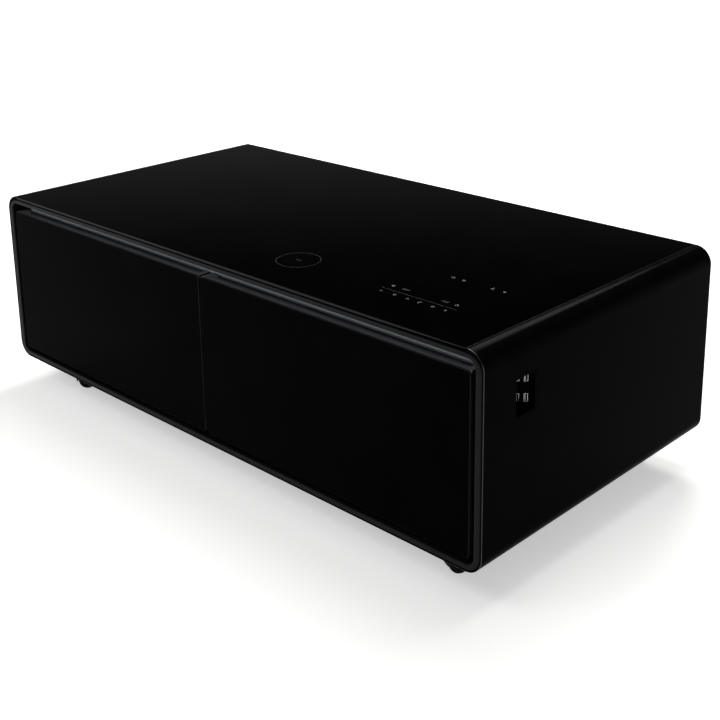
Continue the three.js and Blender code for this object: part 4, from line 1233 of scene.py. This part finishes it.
def make_world():
    world = bpy.data.worlds.new("studio")
    bpy.context.scene.world = world
    world.use_nodes = True
    tree = world.node_tree
    place = add_node(tree, "ShaderNodeTexCoord")
    split = add_node(tree, "ShaderNodeSeparateXYZ", {"Vector": place.outputs["Generated"]})
    levels = []
    for start, end, low, high in BANDS:
        inputs = {"Value": split.outputs["Z"], "To Min": low, "To Max": high}
        inputs |= {"From Min": math.sin(math.radians(start)), "From Max": math.sin(math.radians(end))}
        band = add_node(tree, "ShaderNodeMapRange", inputs, interpolation_type="SMOOTHSTEP")
        levels.append(band.outputs["Result"])
    both = add_node(tree, "ShaderNodeMath", {0: levels[0], 1: levels[1]}, operation="ADD")
    background = tree.nodes["Background"]
    background.inputs["Color"].default_value = (1, 1, 1, 1)
    tree.links.new(both.outputs[0], background.inputs["Strength"])


make_world()

# %% Lamps


def add_softbox(name, place, target, width, height, power):
    """A rectangular lamp that faces the target."""
    light = bpy.data.lights.new(name, "AREA")
    light.shape = "RECTANGLE"
    light.size, light.size_y = width, height
    light.energy = power
    lamp = bpy.data.objects.new(name, light)
    lamp.location = place
    lamp.rotation_euler = (Vector(target) - Vector(place)).to_track_quat("-Z", "Y").to_euler()
    bpy.context.scene.collection.objects.link(lamp)
    return lamp


# Soft light from above, and the shadow under the table
add_softbox("overhead_softbox", (0.1, 0.7, 2.9), (0, 0, 0.3), 2.2, 1.4, 38)
# Light on the fronts, hidden from mirrors: the glass and the sides would show it as a hard white patch
low_front_fill = add_softbox("low_front_fill", (-0.5, -4.2, 0.42), (0, 0, 0.3), 3.2, 0.7, 52)
low_front_fill.visible_glossy = False
# From high in front, for the upper edges of the fronts
add_softbox("high_front_fill", (-0.3, -2.5, 2.7), (0, -0.3, 0.4), 2.2, 0.9, 26)
# From behind, for the line of light along the shell's round edge and the lighter far end of the top
add_softbox("rear_left_softbox", (-0.75, 2.75, 2.85), (0.6, 0, 0.4), 1.5, 1.0, 75)
print("lamps:", len(bpy.data.lights))

# %% [markdown]
# ## Camera
# The photograph was taken from the front right corner, about 1.1 m above the floor and 2.4 m away. It is
# a crop from the lower part of a wider picture, which a shift of the lens gives here. Only half of that
# shift is kept, so that the table stays in the frame in other views, and the camera looks down a little
# more to make up for it. Its directions are written out from azimuth, elevation and roll.

# %% Camera

FOCAL_PX, FRAME_PX = 1208.5, 720
AZIMUTH, ELEVATION, ROLL = (math.radians(a) for a in (44.31, 15.69, -0.82))
CAMERA_PLACE = Vector((1.640, -1.591, 1.112))
SHIFT_UP_PX = -160
SENSOR_MM, CLIP_END = 36, 200

camera_data = bpy.data.cameras.new("camera")
camera_data.sensor_width = SENSOR_MM
camera_data.lens = FOCAL_PX / FRAME_PX * SENSOR_MM
camera_data.shift_y = SHIFT_UP_PX / FRAME_PX
camera_data.clip_end = CLIP_END
camera = bpy.data.objects.new("camera", camera_data)
bpy.context.scene.collection.objects.link(camera)

backward = Vector((
    math.sin(AZIMUTH) * math.cos(ELEVATION),
    -math.cos(AZIMUTH) * math.cos(ELEVATION),
    math.sin(ELEVATION),
))
level = Vector((0, 0, 1)).cross(backward).normalized()
upward = backward.cross(level)
right = level * math.cos(ROLL) + upward * math.sin(ROLL)
up = upward * math.cos(ROLL) - level * math.sin(ROLL)
turn = Matrix((right, up, backward)).transposed().to_4x4()
camera.matrix_world = Matrix.Translation(CAMERA_PLACE) @ turn
bpy.context.scene.camera = camera
bpy.context.scene.view_settings.view_transform = "Standard"
print("lens:", round(camera_data.lens, 1), "mm")

# %% Finish

print("scene built")
